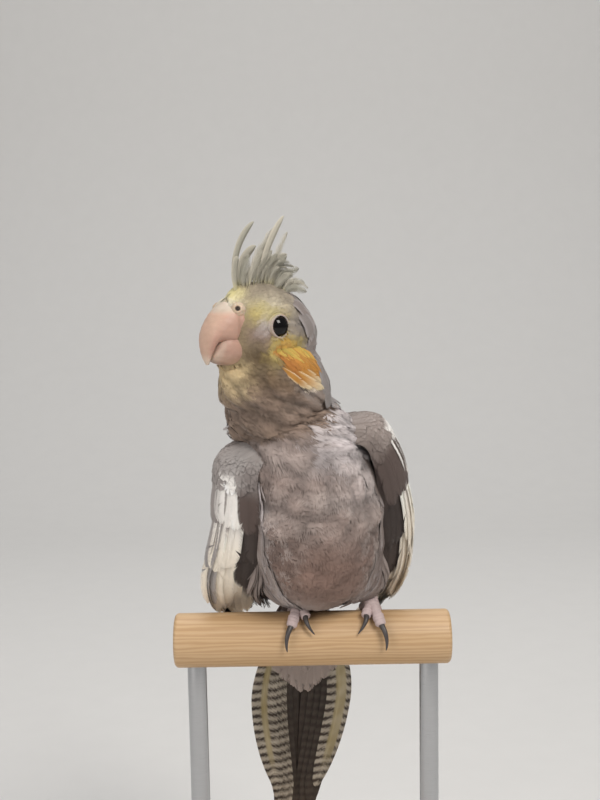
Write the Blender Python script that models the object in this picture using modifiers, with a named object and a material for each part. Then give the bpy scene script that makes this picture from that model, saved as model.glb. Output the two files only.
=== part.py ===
"""Life-size still model of a young grey cockatiel that grips a round perch on a plain display stand.

World frame: metres, +Z up, origin at the centre of the base's underside, the bird facing -Y.
The bird is laid out in three frames of its own, all in metres:
  bird frame   origin on the perch's top line, axes as the world's
  body frame   the trunk, wings and tail, upright and symmetric about x = 0, facing -Y
  head frame   f forward, l to the bird's left, u up, origin midway between the eyes
"""

import math
import random
from dataclasses import dataclass

import bmesh
import bpy
import numpy as np

MM = 0.001
GAP = 0.3 * MM
"""Clearance between two nodes that meet face to face."""

# Display stand
BASE_RADIUS = 68 * MM
BASE_HEIGHT = 12 * MM
BASE_EDGE = 1.6 * MM
ROD_RADIUS = 3.2 * MM
ROD_X = 39 * MM
PERCH_RADIUS = 9 * MM
PERCH_HALF_LENGTH = 46 * MM
PERCH_EDGE = 1.4 * MM
PERCH_TOP = 150 * MM
PERCH_Y = -16 * MM

# Pose of the trunk: it leans to the bird's right as it rises, and is turned a little to its left
BODY_X = 2.5 * MM
BODY_YAW = math.radians(10)
BODY_LEAN = math.radians(15)
LEAN_START = 5 * MM
LEAN_END = 60 * MM

# Pose of the head: turned to the bird's right and raised
HEAD_CENTRE = np.array([-15.0, -8.0, 95.0]) * MM
HEAD_YAW = math.radians(50)
HEAD_PITCH = math.radians(16)

# Trunk stations, from the rump to the neck: y, z, half width, front depth, back depth (mm)
TORSO = [
    (25.5, -4.0, 4.0, 3.6, 4.0),
    (22.5, 2.0, 9.5, 6.6, 7.0),
    (17.5, 8.0, 15.5, 11.0, 11.0),
    (10.0, 16.5, 20.5, 22.5, 15.0),
    (5.0, 27.0, 23.4, 27.0, 18.5),
    (1.0, 39.0, 23.8, 26.5, 19.0),
    (-2.0, 51.0, 22.6, 23.5, 17.5),
    (-4.5, 61.0, 19.0, 19.5, 15.5),
    (-6.0, 67.5, 14.0, 14.0, 12.5),
    (-7.0, 71.5, 6.0, 6.0, 6.0),
]
TORSO_RINGS = 17
TORSO_SIDES = 24

# Neck stations in the bird frame: x, y, z, half width, front depth, back depth (mm)
NECK = [
    (-5.0, -4.0, 58.0, 10.0, 11.0, 10.0),
    (-7.5, -5.5, 65.5, 14.5, 14.0, 12.5),
    (-9.8, -7.0, 72.5, 16.4, 15.0, 14.0),
    (-11.8, -8.0, 79.0, 16.2, 15.0, 15.0),
    (-13.2, -8.0, 84.5, 14.6, 13.6, 14.6),
    (-14.5, -8.0, 90.0, 9.0, 8.5, 9.0),
]
NECK_RINGS = 10
NECK_SIDES = 22

# Skull stations in the head frame: f, half width, height above, depth below (mm)
SKULL = [
    (-19.4, 2.0, 2.0, 2.0),
    (-17.6, 6.8, 6.2, 7.6),
    (-13.2, 11.2, 10.2, 12.0),
    (-6.8, 13.2, 13.2, 13.8),
    (0.0, 13.4, 14.8, 14.0),
    (6.0, 11.3, 14.4, 13.8),
    (10.4, 8.0, 12.8, 12.8),
    (13.4, 5.4, 10.2, 7.2),
    (15.2, 2.8, 6.8, 2.6),
]
SKULL_RINGS = 17
SKULL_SIDES = 24

# Eye, its lids and the nostrils, in the head frame
EYE_RADIUS = 4.4 * MM
EYE_PLACE = (1.7, 9.0, 1.3)
EYE_FACING = math.radians(83)
LID_RADIUS = 3.85 * MM
LID_WIDTH = 0.92
LID_TUBE = 0.85 * MM
LID_DEPTH = 2.7 * MM
CERE_PLACE = (12.8, 3.2, 3.0)
CERE_SIZE = (3.8, 3.2, 3.5)
NOSTRIL_PLACE = (14.9, 5.6, 3.4)
NOSTRIL_SIZE = np.array([0.85, 1.5, 0.85]) * MM

# Bill profiles in the head frame: outer f, u, inner f, u, half width (mm)
BILL_UPPER = [
    (8.0, 5.4, 6.0, -3.2, 5.2),
    (13.4, 6.6, 8.0, -4.2, 6.6),
    (16.4, 5.2, 10.0, -5.6, 6.8),
    (18.7, 2.2, 12.2, -7.6, 6.4),
    (20.1, -1.8, 14.2, -9.0, 5.6),
    (20.7, -6.2, 15.2, -10.2, 4.5),
    (20.1, -10.6, 15.8, -12.2, 3.2),
    (18.4, -14.2, 15.9, -14.6, 1.9),
    (16.6, -16.6, 16.1, -16.4, 0.6),
]
BILL_LOWER = [
    (4.0, -11.0, 5.0, -3.6, 4.6),
    (7.0, -12.6, 7.2, -3.8, 5.2),
    (10.0, -13.8, 9.4, -4.4, 5.4),
    (12.6, -14.0, 11.4, -5.4, 5.2),
    (14.6, -13.2, 13.4, -6.8, 4.4),
    (15.8, -12.0, 14.8, -8.4, 3.0),
    (16.2, -11.2, 15.6, -9.8, 1.5),
]
BILL_RINGS = 13
BILL_SIDES = 12

# Folded left wing in the body frame: leading edge, outermost line and trailing edge (mm)
WING_LEADING = [
    (10.0, -13.0, 62.0),
    (17.5, -18.0, 56.5),
    (21.0, -17.0, 45.0),
    (21.6, -13.0, 33.0),
    (21.0, -8.0, 21.0),
    (20.0, 0.0, 9.5),
    (19.0, 14.5, -2.0),
    (16.5, 27.0, -13.0),
    (13.0, 37.5, -24.0),
    (9.0, 47.0, -34.0),
]
WING_OUTER = [
    (13.0, -4.0, 66.5),
    (26.0, -7.5, 63.5),
    (30.5, -6.0, 53.0),
    (32.0, -3.0, 40.5),
    (32.4, 0.5, 28.0),
    (31.5, 5.0, 15.0),
    (28.5, 15.0, 1.5),
    (23.0, 28.0, -10.5),
    (16.0, 39.5, -22.0),
    (9.0, 49.0, -34.0),
]
WING_TRAILING = [
    (7.0, 5.0, 66.0),
    (9.5, 11.0, 61.5),
    (11.5, 18.0, 52.5),
    (11.0, 23.5, 41.0),
    (9.5, 28.0, 28.5),
    (8.0, 32.5, 15.0),
    (6.5, 37.5, 2.0),
    (4.5, 43.0, -10.5),
    (3.0, 48.0, -22.5),
    (2.5, 51.0, -34.0),
]
# How far the right wing stands off beyond the left: leading, outer and trailing lines (mm)
RIGHT_SPREAD = [
    (0.0, 1.5, 0.0),
    (-1.5, 3.6, 1.0),
    (-2.0, 3.2, 2.0),
    (-1.5, 3.8, 3.0),
    (-0.5, 4.8, 3.2),
    (1.0, 6.4, 3.0),
    (2.0, 6.0, 2.4),
    (1.5, 3.4, 1.5),
    (0.6, 1.2, 0.6),
    (0.0, 0.0, 0.0),
]
WING_STATIONS = 37
# Wing arm, the solid that the feathers are rooted in: place along the wing, then how far its
# outer face lies under the tips of the feathers, and its thickness (mm)
WING_ARM = [
    (0.0, 0.3, 2.0),
    (0.12, 1.8, 4.2),
    (0.25, 3.0, 4.6),
    (0.38, 3.2, 4.8),
    (0.48, 3.4, 4.4),
    (0.54, 3.9, 2.8),
]
ARM_RINGS = 7
ARM_SPANS = 4

VANE = 0.55 * MM
"""Thickness of a feather's vane."""
VANE_TIP = 0.3 * MM
STEP = 0.9 * MM
"""Rise from one overlapping vane to the next, which leaves 0.35 mm of air between them."""


@dataclass(frozen=True)
class Tier:
    """A row of overlapping flight feathers or coverts across a folded wing."""

    name: str
    count: int
    first: float
    """Place of the first feather across the wing, from its leading edge at 0 to its trailing edge at 1."""
    last: float
    root: tuple
    """Place of the roots of the first and last feathers along the wing, from shoulder 0 to tip 1."""
    tip: tuple
    """Place of the tips of the first and last feathers."""
    depth: tuple
    """How deep root and tip lie under the wing's outer surface."""
    overlap: float
    """Width of a vane as a share of the spacing."""
    point: float
    """Width left at the tip, as a share of the full width."""


TIERS = (
    Tier("secondary", 7, 0.22, 0.90, (0.42, 0.40), (0.665, 0.70), (4.8 * MM, 0.7 * MM), 1.4, 0.45),
    Tier("greater_covert", 7, 0.10, 0.92, (0.26, 0.24), (0.50, 0.47), (4.4 * MM, 0.6 * MM), 1.35, 0.5),
    Tier("median_covert", 6, 0.10, 0.90, (0.12, 0.11), (0.32, 0.30), (3.6 * MM, 0.4 * MM), 1.35, 0.5),
)
VANE_PROFILE = ((0.0, 0.62), (0.35, 0.97), (0.66, 0.97), (0.88, 0.7))
"""Half width along a vane, up to its tip, as a share of the full half width."""

# Primaries: stacked under the secondaries along one line of the wing, the outermost lowest and longest
PRIMARIES = 4
PRIMARY_LINE = 0.24
PRIMARY_ROOT = 0.42
PRIMARY_TIPS = (1.0, 0.84)
# Depth of the lowest primary under the wing's outer surface, at the place along the wing (mm)
PRIMARY_DEPTH = [(0.42, 6.6), (0.55, 7.0), (0.68, 6.6), (0.8, 5.2), (1.0, 3.8)]
PRIMARY_SHIFT = 1.2 * MM
PRIMARY_HALF_WIDTH = 3.4 * MM
PRIMARY_PROFILE = ((0.0, 0.7), (0.2, 0.9), (0.42, 1.0), (0.62, 0.85), (0.82, 0.62), (1.0, 0.25))

# Tail in the body frame
TAIL_ROOT = np.array([-1.0, 24.5, -1.0]) * MM
TAIL_TILT = math.radians(18)
TAIL_BULGE = 42 * MM
# Tail feathers from the middle pair to the outer pair: length, and how far out they bow (mm)
RECTRICES = [(138, 1.6), (126, 4.6), (115, 7.4), (105, 9.8), (95, 12.0), (85, 14.0)]
RECTRIX_HALF_WIDTH = 4.5 * MM
TAIL_STACK_MIDDLE = 3 * MM
# Tail root: distance down the tail, half width, depth under and over the feathers' plane (mm)
TAIL_CORE = [
    (-3, 5.0, 4.0, 4.0),
    (5, 8.5, 6.0, 5.4),
    (14, 10.5, 5.8, 4.2),
    (24, 11.0, 4.2, 2.2),
    (32, 9.5, 1.6, 0.4),
]
TAIL_CORE_RINGS = 8
TAIL_CORE_SIDES = 14
# Outline and thickness of a tail feather: share of its length, of its half width and of its thickness
RECTRIX_PROFILE = [
    (0.0, 0.55, 1.0),
    (0.12, 0.75, 1.0),
    (0.28, 1.0, 1.0),
    (0.45, 1.0, 1.0),
    (0.62, 0.92, 1.0),
    (0.78, 0.74, 0.95),
    (0.91, 0.45, 0.8),
    (1.0, 0.12, 0.6),
]
RECTRIX_START = 4 * MM
# Coverts over and under the tail's root: places across it, and their length (mm)
TAIL_COVERTS = (-7.0, -3.5, 0.0, 3.5, 7.0)
TAIL_COVERT_LENGTH = {"upper": 40 * MM, "under": 36 * MM}

# Crest feathers in the head frame: root f and l, then bend f and u, tip f and u, half width (mm)
CREST = [
    (12.4, 0.0, 15.2, 21.5, 11.2, 32.4, 1.0),
    (12.9, 1.0, 15.4, 15.5, 15.4, 20.0, 1.1),
    (11.6, -0.8, 12.0, 18.5, 7.8, 25.6, 1.5),
    (10.8, 1.6, 11.6, 13.8, 9.8, 17.8, 1.3),
    (9.6, 2.0, 10.0, 15.5, 7.2, 20.4, 1.4),
    (7.6, 0.2, 7.8, 20.5, 4.6, 29.0, 1.6),
    (5.0, -1.6, 4.6, 22.0, 1.8, 33.0, 1.5),
    (3.6, 0.6, 4.4, 24.5, 0.6, 37.4, 1.5),
    (3.4, 2.8, 4.6, 18.6, 2.4, 24.4, 1.5),
    (6.0, 2.4, 6.8, 16.2, 4.8, 20.8, 1.4),
    (1.6, -2.6, 1.8, 19.0, -0.6, 26.5, 1.4),
    (0.8, 1.4, 1.2, 22.0, -1.2, 32.6, 1.5),
    (-0.8, -1.2, -1.4, 20.0, -5.6, 26.0, 1.7),
    (-2.6, 1.8, -3.8, 18.6, -8.4, 22.4, 1.6),
    (-5.2, 0.2, -7.6, 17.2, -13.6, 18.9, 1.7),
    (-5.6, -2.6, -8.2, 16.0, -14.0, 16.6, 1.6),
    (-3.2, -2.4, -4.6, 17.4, -9.8, 20.2, 1.4),
    (-4.2, 2.6, -6.2, 15.6, -12.6, 15.8, 1.3),
]

# Outline of a crest feather: share of its length, of its half width, and its thickness (mm)
CREST_PROFILE = [
    (0.0, 0.5, 0.5),
    (0.22, 0.85, 0.5),
    (0.42, 1.0, 0.5),
    (0.62, 0.95, 0.5),
    (0.82, 0.65, 0.4),
    (1.0, 0.18, 0.3),
]
CREST_SUNK = 1.6
"""How far a crest feather's root lies under the crown (mm)."""
# Ridge that the crest grows from: its ends along the head, half width, depth and height (mm)
RIDGE_ENDS = (14.4, -7.5)
RIDGE_SIZE = (3.0, 2.5, 1.7)
RIDGE_DROP = 0.3
RIDGE_RINGS = 8

# Feathered thighs in the body frame: y, z and radius from the top down, and x at the top and bottom (mm)
LEG = [(2.0, 22.0, 5.6), (0.5, 15.0, 7.4), (-0.5, 9.0, 6.6), (-0.5, 4.8, 4.0)]
LEG_X = {"left": (14.5, 16.5), "right": (-15.0, -11.0)}
LEG_RINGS = 8
LEG_SIDES = 14

# Shank: y, z and radius from the toes up (mm)
SHANK = [(0.5, 1.7, 2.5), (2.5, 5.5, 2.2), (6.0, 12.0, 2.2)]

# Feet: place along the perch, and for each toe its side angle, wrap angle, radius and claw length
FOOT_X = {"left": 19.8 * MM, "right": -4.2 * MM}
TOE_RADIUS = 1.9 * MM
TOE_START = 8
TOE_RINGS = 7
TOE_PADS = 0.1
TOES = {
    "toe2": (-17, 34, 0.92, 6.0),
    "toe3": (14, 52, 1.0, 8.5),
    "toe1": (-14, -46, 0.88, 5.5),
    "toe4": (12, -72, 0.96, 7.0),
}
CLAW_RADIUS = 1.25 * MM
CLAW_RINGS = 6
CLAW_ARCH = 0.7 * MM
CLAW_DROP = 0.75 * MM

BODY_GREY = (0.36, 0.33, 0.30)
FACE = (0.72, 0.68, 0.50)
WING_GREY = (0.42, 0.41, 0.40)
TAIL_GREY = (0.26, 0.26, 0.23)
HORN = (0.74, 0.52, 0.46)
SKIN = (0.52, 0.42, 0.42)
CLAW = (0.10, 0.08, 0.08)
EYE = (0.01, 0.008, 0.008)
CREST_GREY = (0.50, 0.50, 0.47)
WOOD = (0.62, 0.44, 0.28)
METAL = (0.55, 0.55, 0.56)


# ---------------------------------------------------------------- frames


def to_world(points):
    """Bird frame to world."""
    return np.asarray(points, float) + (0.0, PERCH_Y, PERCH_TOP)


def pose_body(points):
    """Body frame to bird frame: a sideways bend that grows with height, then a turn about the z axis."""
    x, y, z = np.asarray(points, float).reshape(-1, 3).T
    steps = np.linspace(-0.16, 0.10, 521)
    share = np.clip((steps - LEAN_START) / (LEAN_END - LEAN_START), 0, 1)
    lean = BODY_LEAN * share * share * (3 - 2 * share)
    step = steps[1] - steps[0]
    spine_x = -np.cumsum(np.sin(lean)) * step
    spine_z = steps[0] + np.cumsum(np.cos(lean)) * step - step
    angle = np.interp(z, steps, lean)
    across = np.interp(z, steps, spine_x) + x * np.cos(angle)
    up = np.interp(z, steps, spine_z) + x * np.sin(angle)
    turned_x = across * math.cos(BODY_YAW) - y * math.sin(BODY_YAW) + BODY_X
    turned_y = across * math.sin(BODY_YAW) + y * math.cos(BODY_YAW)
    return np.stack([turned_x, turned_y, up], 1).reshape(np.shape(points))


def head_axes():
    """Forward, left and up of the head, in the bird frame."""
    level = np.array([-math.sin(HEAD_YAW), -math.cos(HEAD_YAW), 0.0])
    left = np.array([math.cos(HEAD_YAW), -math.sin(HEAD_YAW), 0.0])
    upright = np.array([0.0, 0.0, 1.0])
    forward = level * math.cos(HEAD_PITCH) + upright * math.sin(HEAD_PITCH)
    up = upright * math.cos(HEAD_PITCH) - level * math.sin(HEAD_PITCH)
    return forward, left, up


def pose_head(points):
    """Head frame to bird frame."""
    return HEAD_CENTRE + np.asarray(points, float) @ np.array(head_axes())


# ---------------------------------------------------------------- scene helpers


def clear_scene():
    for obj in list(bpy.data.objects):
        bpy.data.objects.remove(obj)


def new_collection(name):
    collection = bpy.data.collections.new(name)
    bpy.context.scene.collection.children.link(collection)
    return collection


def material(name, colour, roughness=0.7, metallic=0.0):
    made = bpy.data.materials.get(name) or bpy.data.materials.new(name)
    made.use_nodes = True
    shader = made.node_tree.nodes["Principled BSDF"]
    shader.inputs["Base Color"].default_value = (*colour, 1.0)
    shader.inputs["Roughness"].default_value = roughness
    shader.inputs["Metallic"].default_value = metallic
    return made


def mesh_object(name, points, faces):
    """A mesh object whose faces all point outwards."""
    mesh = bpy.data.meshes.new(name)
    mesh.from_pydata([tuple(p) for p in points], [], [tuple(f) for f in faces])
    work = bmesh.new()
    work.from_mesh(mesh)
    bmesh.ops.recalc_face_normals(work, faces=work.faces)
    work.to_mesh(mesh)
    work.free()
    obj = bpy.data.objects.new(name, mesh)
    bpy.context.scene.collection.objects.link(obj)
    return obj


def finish(obj, collection, surface):
    """Puts a finished node in the model's collection with its material, shaded smooth."""
    for holder in list(obj.users_collection):
        holder.objects.unlink(obj)
    collection.objects.link(obj)
    obj.data.materials.clear()
    obj.data.materials.append(surface)
    obj.data.shade_smooth()
    obj.data.set_sharp_from_angle(angle=math.radians(40))
    return obj


def apply_modifiers(obj):
    bpy.context.view_layer.update()
    graph = bpy.context.evaluated_depsgraph_get()
    baked = bpy.data.meshes.new_from_object(obj.evaluated_get(graph))
    obj.modifiers.clear()
    obj.data = baked
    return obj


def keep_largest(obj):
    """Keeps the closed surface with the most volume and drops loose scraps."""
    work = bmesh.new()
    work.from_mesh(obj.data)
    bmesh.ops.triangulate(work, faces=work.faces)
    left = set(work.verts)
    shells = []
    while left:
        shell = {left.pop()}
        edge = list(shell)
        while edge:
            vert = edge.pop()
            for link in vert.link_edges:
                other = link.other_vert(vert)
                if other in left:
                    left.remove(other)
                    shell.add(other)
                    edge.append(other)
        faces = {face for vert in shell for face in vert.link_faces}
        volume = sum(
            f.verts[0].co.dot(f.verts[1].co.cross(f.verts[2].co)) for f in faces
        )
        shells.append((abs(volume), shell))
    shells.sort(key=lambda entry: entry[0], reverse=True)
    loose = [vert for _, shell in shells[1:] for vert in shell]
    bmesh.ops.delete(work, geom=loose, context="VERTS")
    work.to_mesh(obj.data)
    work.free()
    return obj


def union(name, pieces, solver="EXACT"):
    """Joins closed mesh objects into one closed body with one Boolean on a collection."""
    first, rest = pieces[0], pieces[1:]
    first.name = name
    group = new_collection(name + "_pieces")
    for piece in rest:
        for holder in list(piece.users_collection):
            holder.objects.unlink(piece)
        group.objects.link(piece)
    join = first.modifiers.new("join", "BOOLEAN")
    join.operation = "UNION"
    join.operand_type = "COLLECTION"
    join.collection = group
    join.solver = solver
    apply_modifiers(first)
    for piece in rest:
        bpy.data.objects.remove(piece)
    bpy.data.collections.remove(group)
    return keep_largest(first)


def subtract(obj, cutters, solver="EXACT"):
    """Cuts each cutter from the object, removes the cutters and keeps the largest body."""
    for cutter in cutters:
        cut = obj.modifiers.new("cut", "BOOLEAN")
        cut.operation = "DIFFERENCE"
        cut.object = cutter
        cut.solver = solver
        apply_modifiers(obj)
        bpy.data.objects.remove(cutter)
    return keep_largest(obj)


# ---------------------------------------------------------------- shape helpers


def through(rows, count):
    """Smooth rows through the given ones, evenly spaced in their order (Catmull-Rom)."""
    rows = np.asarray(rows, float)
    padded = np.vstack([2 * rows[0] - rows[1], rows, 2 * rows[-1] - rows[-2]])
    place = np.linspace(0, len(rows) - 1, count)
    at = np.minimum(place.astype(int), len(rows) - 2)
    t = (place - at)[:, None]
    a, b, c, d = (padded[at + k] for k in range(4))
    return 0.5 * (
        2 * b
        + (c - a) * t
        + (2 * a - 5 * b + 4 * c - d) * t**2
        + (3 * b - a - 3 * c + d) * t**3
    )


def loft(name, rings):
    """Closed body through rings of points, with a fan over each end."""
    rings = np.asarray(rings, float)
    count, sides = rings.shape[:2]
    points = [*rings.reshape(-1, 3), rings[0].mean(0), rings[-1].mean(0)]
    faces = []
    for i in range(count - 1):
        for j in range(sides):
            k = (j + 1) % sides
            faces.append(
                (i * sides + j, i * sides + k, (i + 1) * sides + k, (i + 1) * sides + j)
            )
    last = (count - 1) * sides
    for j in range(sides):
        k = (j + 1) % sides
        faces.append((k, j, count * sides))
        faces.append((last + j, last + k, count * sides + 1))
    return mesh_object(name, points, faces)


def sections(centres, across, backs, width, front, back, sides):
    """Egg-shaped rings: half width across, and its own depth in front of and behind each centre."""
    angle = np.linspace(0, 2 * math.pi, sides, endpoint=False)
    side, along = np.cos(angle), np.sin(angle)
    depth = np.where(along > 0, back[:, None], front[:, None]) * along
    return (
        centres[:, None]
        + across[:, None] * (width[:, None] * side)[..., None]
        + backs[:, None] * depth[..., None]
    )


def directions(centres):
    """Unit tangents of a line of points."""
    ahead = np.gradient(centres, axis=0)
    return ahead / np.linalg.norm(ahead, axis=1)[:, None]


def unit(vector):
    vector = np.asarray(vector, float)
    return vector / np.linalg.norm(vector, axis=-1, keepdims=True)


def cutter(obj, gap=GAP):
    """Swells a closed body by the gap, along its own normals, for use as a cutting tool."""
    work = bmesh.new()
    work.from_mesh(obj.data)
    work.normal_update()
    moves = [v.normal * gap * min(2.0, v.calc_shell_factor()) for v in work.verts]
    for vert, move in zip(work.verts, moves):
        vert.co += move
    work.to_mesh(obj.data)
    work.free()
    obj.name = "cutter"
    return obj


# ---------------------------------------------------------------- trunk and neck


def torso():
    rows = through(TORSO, TORSO_RINGS) * MM
    centres = np.column_stack([np.zeros(len(rows)), rows[:, 0], rows[:, 1]])
    across = np.tile([1.0, 0.0, 0.0], (len(rows), 1))
    backs = np.cross(directions(centres), across)
    rings = sections(centres, across, backs, rows[:, 2], rows[:, 3], rows[:, 4], TORSO_SIDES)
    return loft("torso", to_world(pose_body(rings)))


def neck():
    rows = through(NECK, NECK_RINGS) * MM
    centres = rows[:, :3]
    tangent = directions(centres)
    across = unit(np.cross([0.0, 1.0, 0.0], tangent))
    backs = np.cross(tangent, across)
    rings = sections(centres, across, backs, rows[:, 3], rows[:, 4], rows[:, 5], NECK_SIDES)
    return loft("neck", to_world(rings))


# ---------------------------------------------------------------- head


def skull():
    rows = through(SKULL, SKULL_RINGS) * MM
    angle = np.linspace(0, 2 * math.pi, SKULL_SIDES, endpoint=False)
    side, rise = np.cos(angle), np.sin(angle)
    height = np.where(rise > 0, rows[:, 2:3], rows[:, 3:4]) * rise
    ahead = np.repeat(rows[:, 0:1], SKULL_SIDES, 1)
    rings = np.stack([ahead, rows[:, 1:2] * side, height], 2)
    return loft("skull", to_world(pose_head(rings)))


def ball(name, place, size, frame=pose_head, segments=20, rings=12):
    """A sphere primitive scaled to half sizes, with its poles to left and right of the head."""
    work = bmesh.new()
    bmesh.ops.create_uvsphere(work, u_segments=segments, v_segments=rings, radius=1.0)
    points = np.array([v.co[:] for v in work.verts])[:, [0, 2, 1]] * size + np.asarray(place)
    for vert, point in zip(work.verts, to_world(frame(points))):
        vert.co = point
    work.normal_update()
    bmesh.ops.recalc_face_normals(work, faces=work.faces)
    mesh = bpy.data.meshes.new(name)
    work.to_mesh(mesh)
    work.free()
    obj = bpy.data.objects.new(name, mesh)
    bpy.context.scene.collection.objects.link(obj)
    return obj


def mirror(place, side):
    """The place on the bird's left or right side of the head, in metres."""
    return np.array([place[0], place[1] * side, place[2]]) * MM


def eye_axis(side):
    return np.array([math.cos(EYE_FACING), side * math.sin(EYE_FACING), 0.0])


def eyeball(side):
    return ball("eye", mirror(EYE_PLACE, side), EYE_RADIUS, segments=16, rings=10)


def cere(side):
    return ball("cere", mirror(CERE_PLACE, side), np.array(CERE_SIZE) * MM, segments=14, rings=8)


def lid(side):
    """The fleshy ring round the eye, a closed tube."""
    axis = eye_axis(side)
    upright = np.array([0.0, 0.0, 1.0])
    along = np.cross(upright, axis)
    centre = mirror(EYE_PLACE, side) + axis * LID_DEPTH
    turn = np.linspace(0, 2 * math.pi, 18, endpoint=False)
    tube = np.linspace(0, 2 * math.pi, 6, endpoint=False)
    radial = LID_WIDTH * np.cos(turn)[:, None] * along + np.sin(turn)[:, None] * upright
    rings = (
        centre
        + radial[:, None] * (LID_RADIUS + LID_TUBE * np.cos(tube))[:, None]
        + axis * (LID_TUBE * np.sin(tube))[:, None]
    )
    count, sides = rings.shape[:2]
    faces = [
        (
            i * sides + j,
            i * sides + (j + 1) % sides,
            (i + 1) % count * sides + (j + 1) % sides,
            (i + 1) % count * sides + j,
        )
        for i in range(count)
        for j in range(sides)
    ]
    return mesh_object("lid", to_world(pose_head(rings)).reshape(-1, 3), faces)


def bill(profile):
    """A horn sheath: rings hung between an outer and an inner edge of the middle plane."""
    rows = through(profile, BILL_RINGS) * MM
    outer, inner, width = rows[:, 0:2], rows[:, 2:4], rows[:, 4]
    middle, reach = (outer + inner) / 2, (outer - inner) / 2
    angle = np.linspace(0, 2 * math.pi, BILL_SIDES, endpoint=False)
    flat = middle[:, None] + reach[:, None] * np.cos(angle)[:, None]
    bulge = np.sign(np.sin(angle)) * np.abs(np.sin(angle)) ** np.where(np.cos(angle) < -0.01, 0.5, 1.0)
    across = width[:, None] * bulge
    rings = np.stack([flat[..., 0], across, flat[..., 1]], 2)
    return loft("bill", to_world(pose_head(rings)))


def head(collection, surface):
    pieces = [skull(), cere(1), cere(-1), lid(1), lid(-1)]
    joined = union("head", pieces, "MANIFOLD")
    cutters = [cutter(eyeball(s)) for s in (1, -1)]
    cutters += [ball("nostril", mirror(NOSTRIL_PLACE, s), NOSTRIL_SIZE, segments=10, rings=6) for s in (1, -1)]
    return finish(subtract(joined, cutters, "MANIFOLD"), collection, surface)


# ---------------------------------------------------------------- feathers


def vane(name, upper, lower):
    """A feather: two faces of points, root to tip and edge to edge, split alike and closed round the rim."""
    rows, columns = upper.shape[:2]
    count = rows * columns
    index = np.arange(count).reshape(rows, columns)
    faces = []
    for i in range(rows - 1):
        for j in range(columns - 1):
            a, b, c, d = index[i, j], index[i, j + 1], index[i + 1, j + 1], index[i + 1, j]
            faces += [(a, b, c), (a, c, d)]
            faces += [(count + c, count + b, count + a), (count + d, count + c, count + a)]
    rim = [*index[0], *index[1:, -1], *index[-1, -2::-1], *index[-2:0:-1, 0]]
    for a, b in zip(rim, rim[1:] + rim[:1]):
        faces += [(b, a, count + a), (b, count + a, count + b)]
    return mesh_object(name, np.concatenate([upper.reshape(-1, 3), lower.reshape(-1, 3)]), faces)


def vane_rows(point):
    """Shares of length, half width and thickness along a vane that ends in the given share of width."""
    along, width = np.array([*VANE_PROFILE, (1.0, point)]).T
    thick = np.where(along < 0.9, VANE, VANE_TIP)
    thick[-2] = (VANE + VANE_TIP) / 2
    return along, width, thick


def wing_lines(side):
    """Leading, outer and trailing lines of a folded wing in the body frame."""
    outlines = (WING_LEADING, WING_OUTER, WING_TRAILING)
    edges = np.array([through(line, WING_STATIONS) for line in outlines]) * MM
    if side < 0:
        edges[..., 0] += (through(RIGHT_SPREAD, WING_STATIONS) * MM).T
    edges[..., 0] *= side
    return edges


def wing_point(lines, s, t, depth):
    """Points under a folded wing's outer surface, at shares s along it and t across it."""
    s, t, depth = np.broadcast_arrays(np.asarray(s, float), t, depth)

    def surface(s, t):
        place = np.clip(s, 0, 1) * (WING_STATIONS - 1)
        at = np.minimum(place.astype(int), WING_STATIONS - 2)
        part = (place - at)[..., None]
        lead, outer, trail = lines[:, at] * (1 - part) + lines[:, at + 1] * part
        t = t[..., None]
        return lead * (1 - t) * (1 - 2 * t) + outer * 4 * t * (1 - t) + trail * t * (2 * t - 1)

    step = 0.01
    down = surface(s + step, t) - surface(s - step, t)
    over = surface(s, t + step) - surface(s, t - step)
    out = unit(np.cross(over, down))
    middle = lines[1].mean(0) - lines[[0, 2]].mean((0, 1))
    out *= np.sign((np.cross(over, down) @ middle).sum())
    return surface(s, t) - out * depth[..., None]


def wing_arm(lines):
    """The arm of the wing, a curved plate that thins towards the feathers' middles."""
    rows = through(WING_ARM, ARM_RINGS)
    s, cover, thick = rows[:, 0:1], rows[:, 1:2] * MM, rows[:, 2:3] * MM
    t = np.linspace(0.03, 0.97, ARM_SPANS + 1)[None]
    profile = 0.15 + 0.85 * np.sqrt(np.sin(np.pi * (t - 0.03) / 0.941))
    outer = wing_point(lines, s, t, cover)
    inner = wing_point(lines, s, t, cover + thick * profile)
    return loft("arm", to_world(pose_body(np.concatenate([outer, inner[:, ::-1]], 1))))


def wing_feathers(lines, tier, draw):
    """The vanes of one tier, each trailing neighbour lying over the last."""
    made = []
    spacing = (tier.last - tier.first) / (tier.count - 1)
    along, width, thick = vane_rows(tier.point)
    for k in range(tier.count):
        share = k / (tier.count - 1)
        root = tier.root[0] + (tier.root[1] - tier.root[0]) * share
        tip = tier.tip[0] + (tier.tip[1] - tier.tip[0]) * share + draw.uniform(-0.008, 0.008)
        middle = tier.first + spacing * k
        edge = np.array([-1.0, 1.0])[None]
        s = (root + (tip - root) * along)[:, None]
        t = middle + edge * (spacing * tier.overlap / 2 * width)[:, None]
        sunk = (tier.depth[0] + (tier.depth[1] - tier.depth[0]) * along)[:, None]
        sunk = sunk + edge * (STEP * tier.overlap / 2 * width)[:, None]
        face = wing_point(lines, s, np.clip(t, 0.0, 1.0), sunk)
        back = wing_point(lines, s, np.clip(t, 0.0, 1.0), sunk + thick[:, None])
        made.append(vane(tier.name, to_world(pose_body(face)), to_world(pose_body(back))))
    return made


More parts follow.
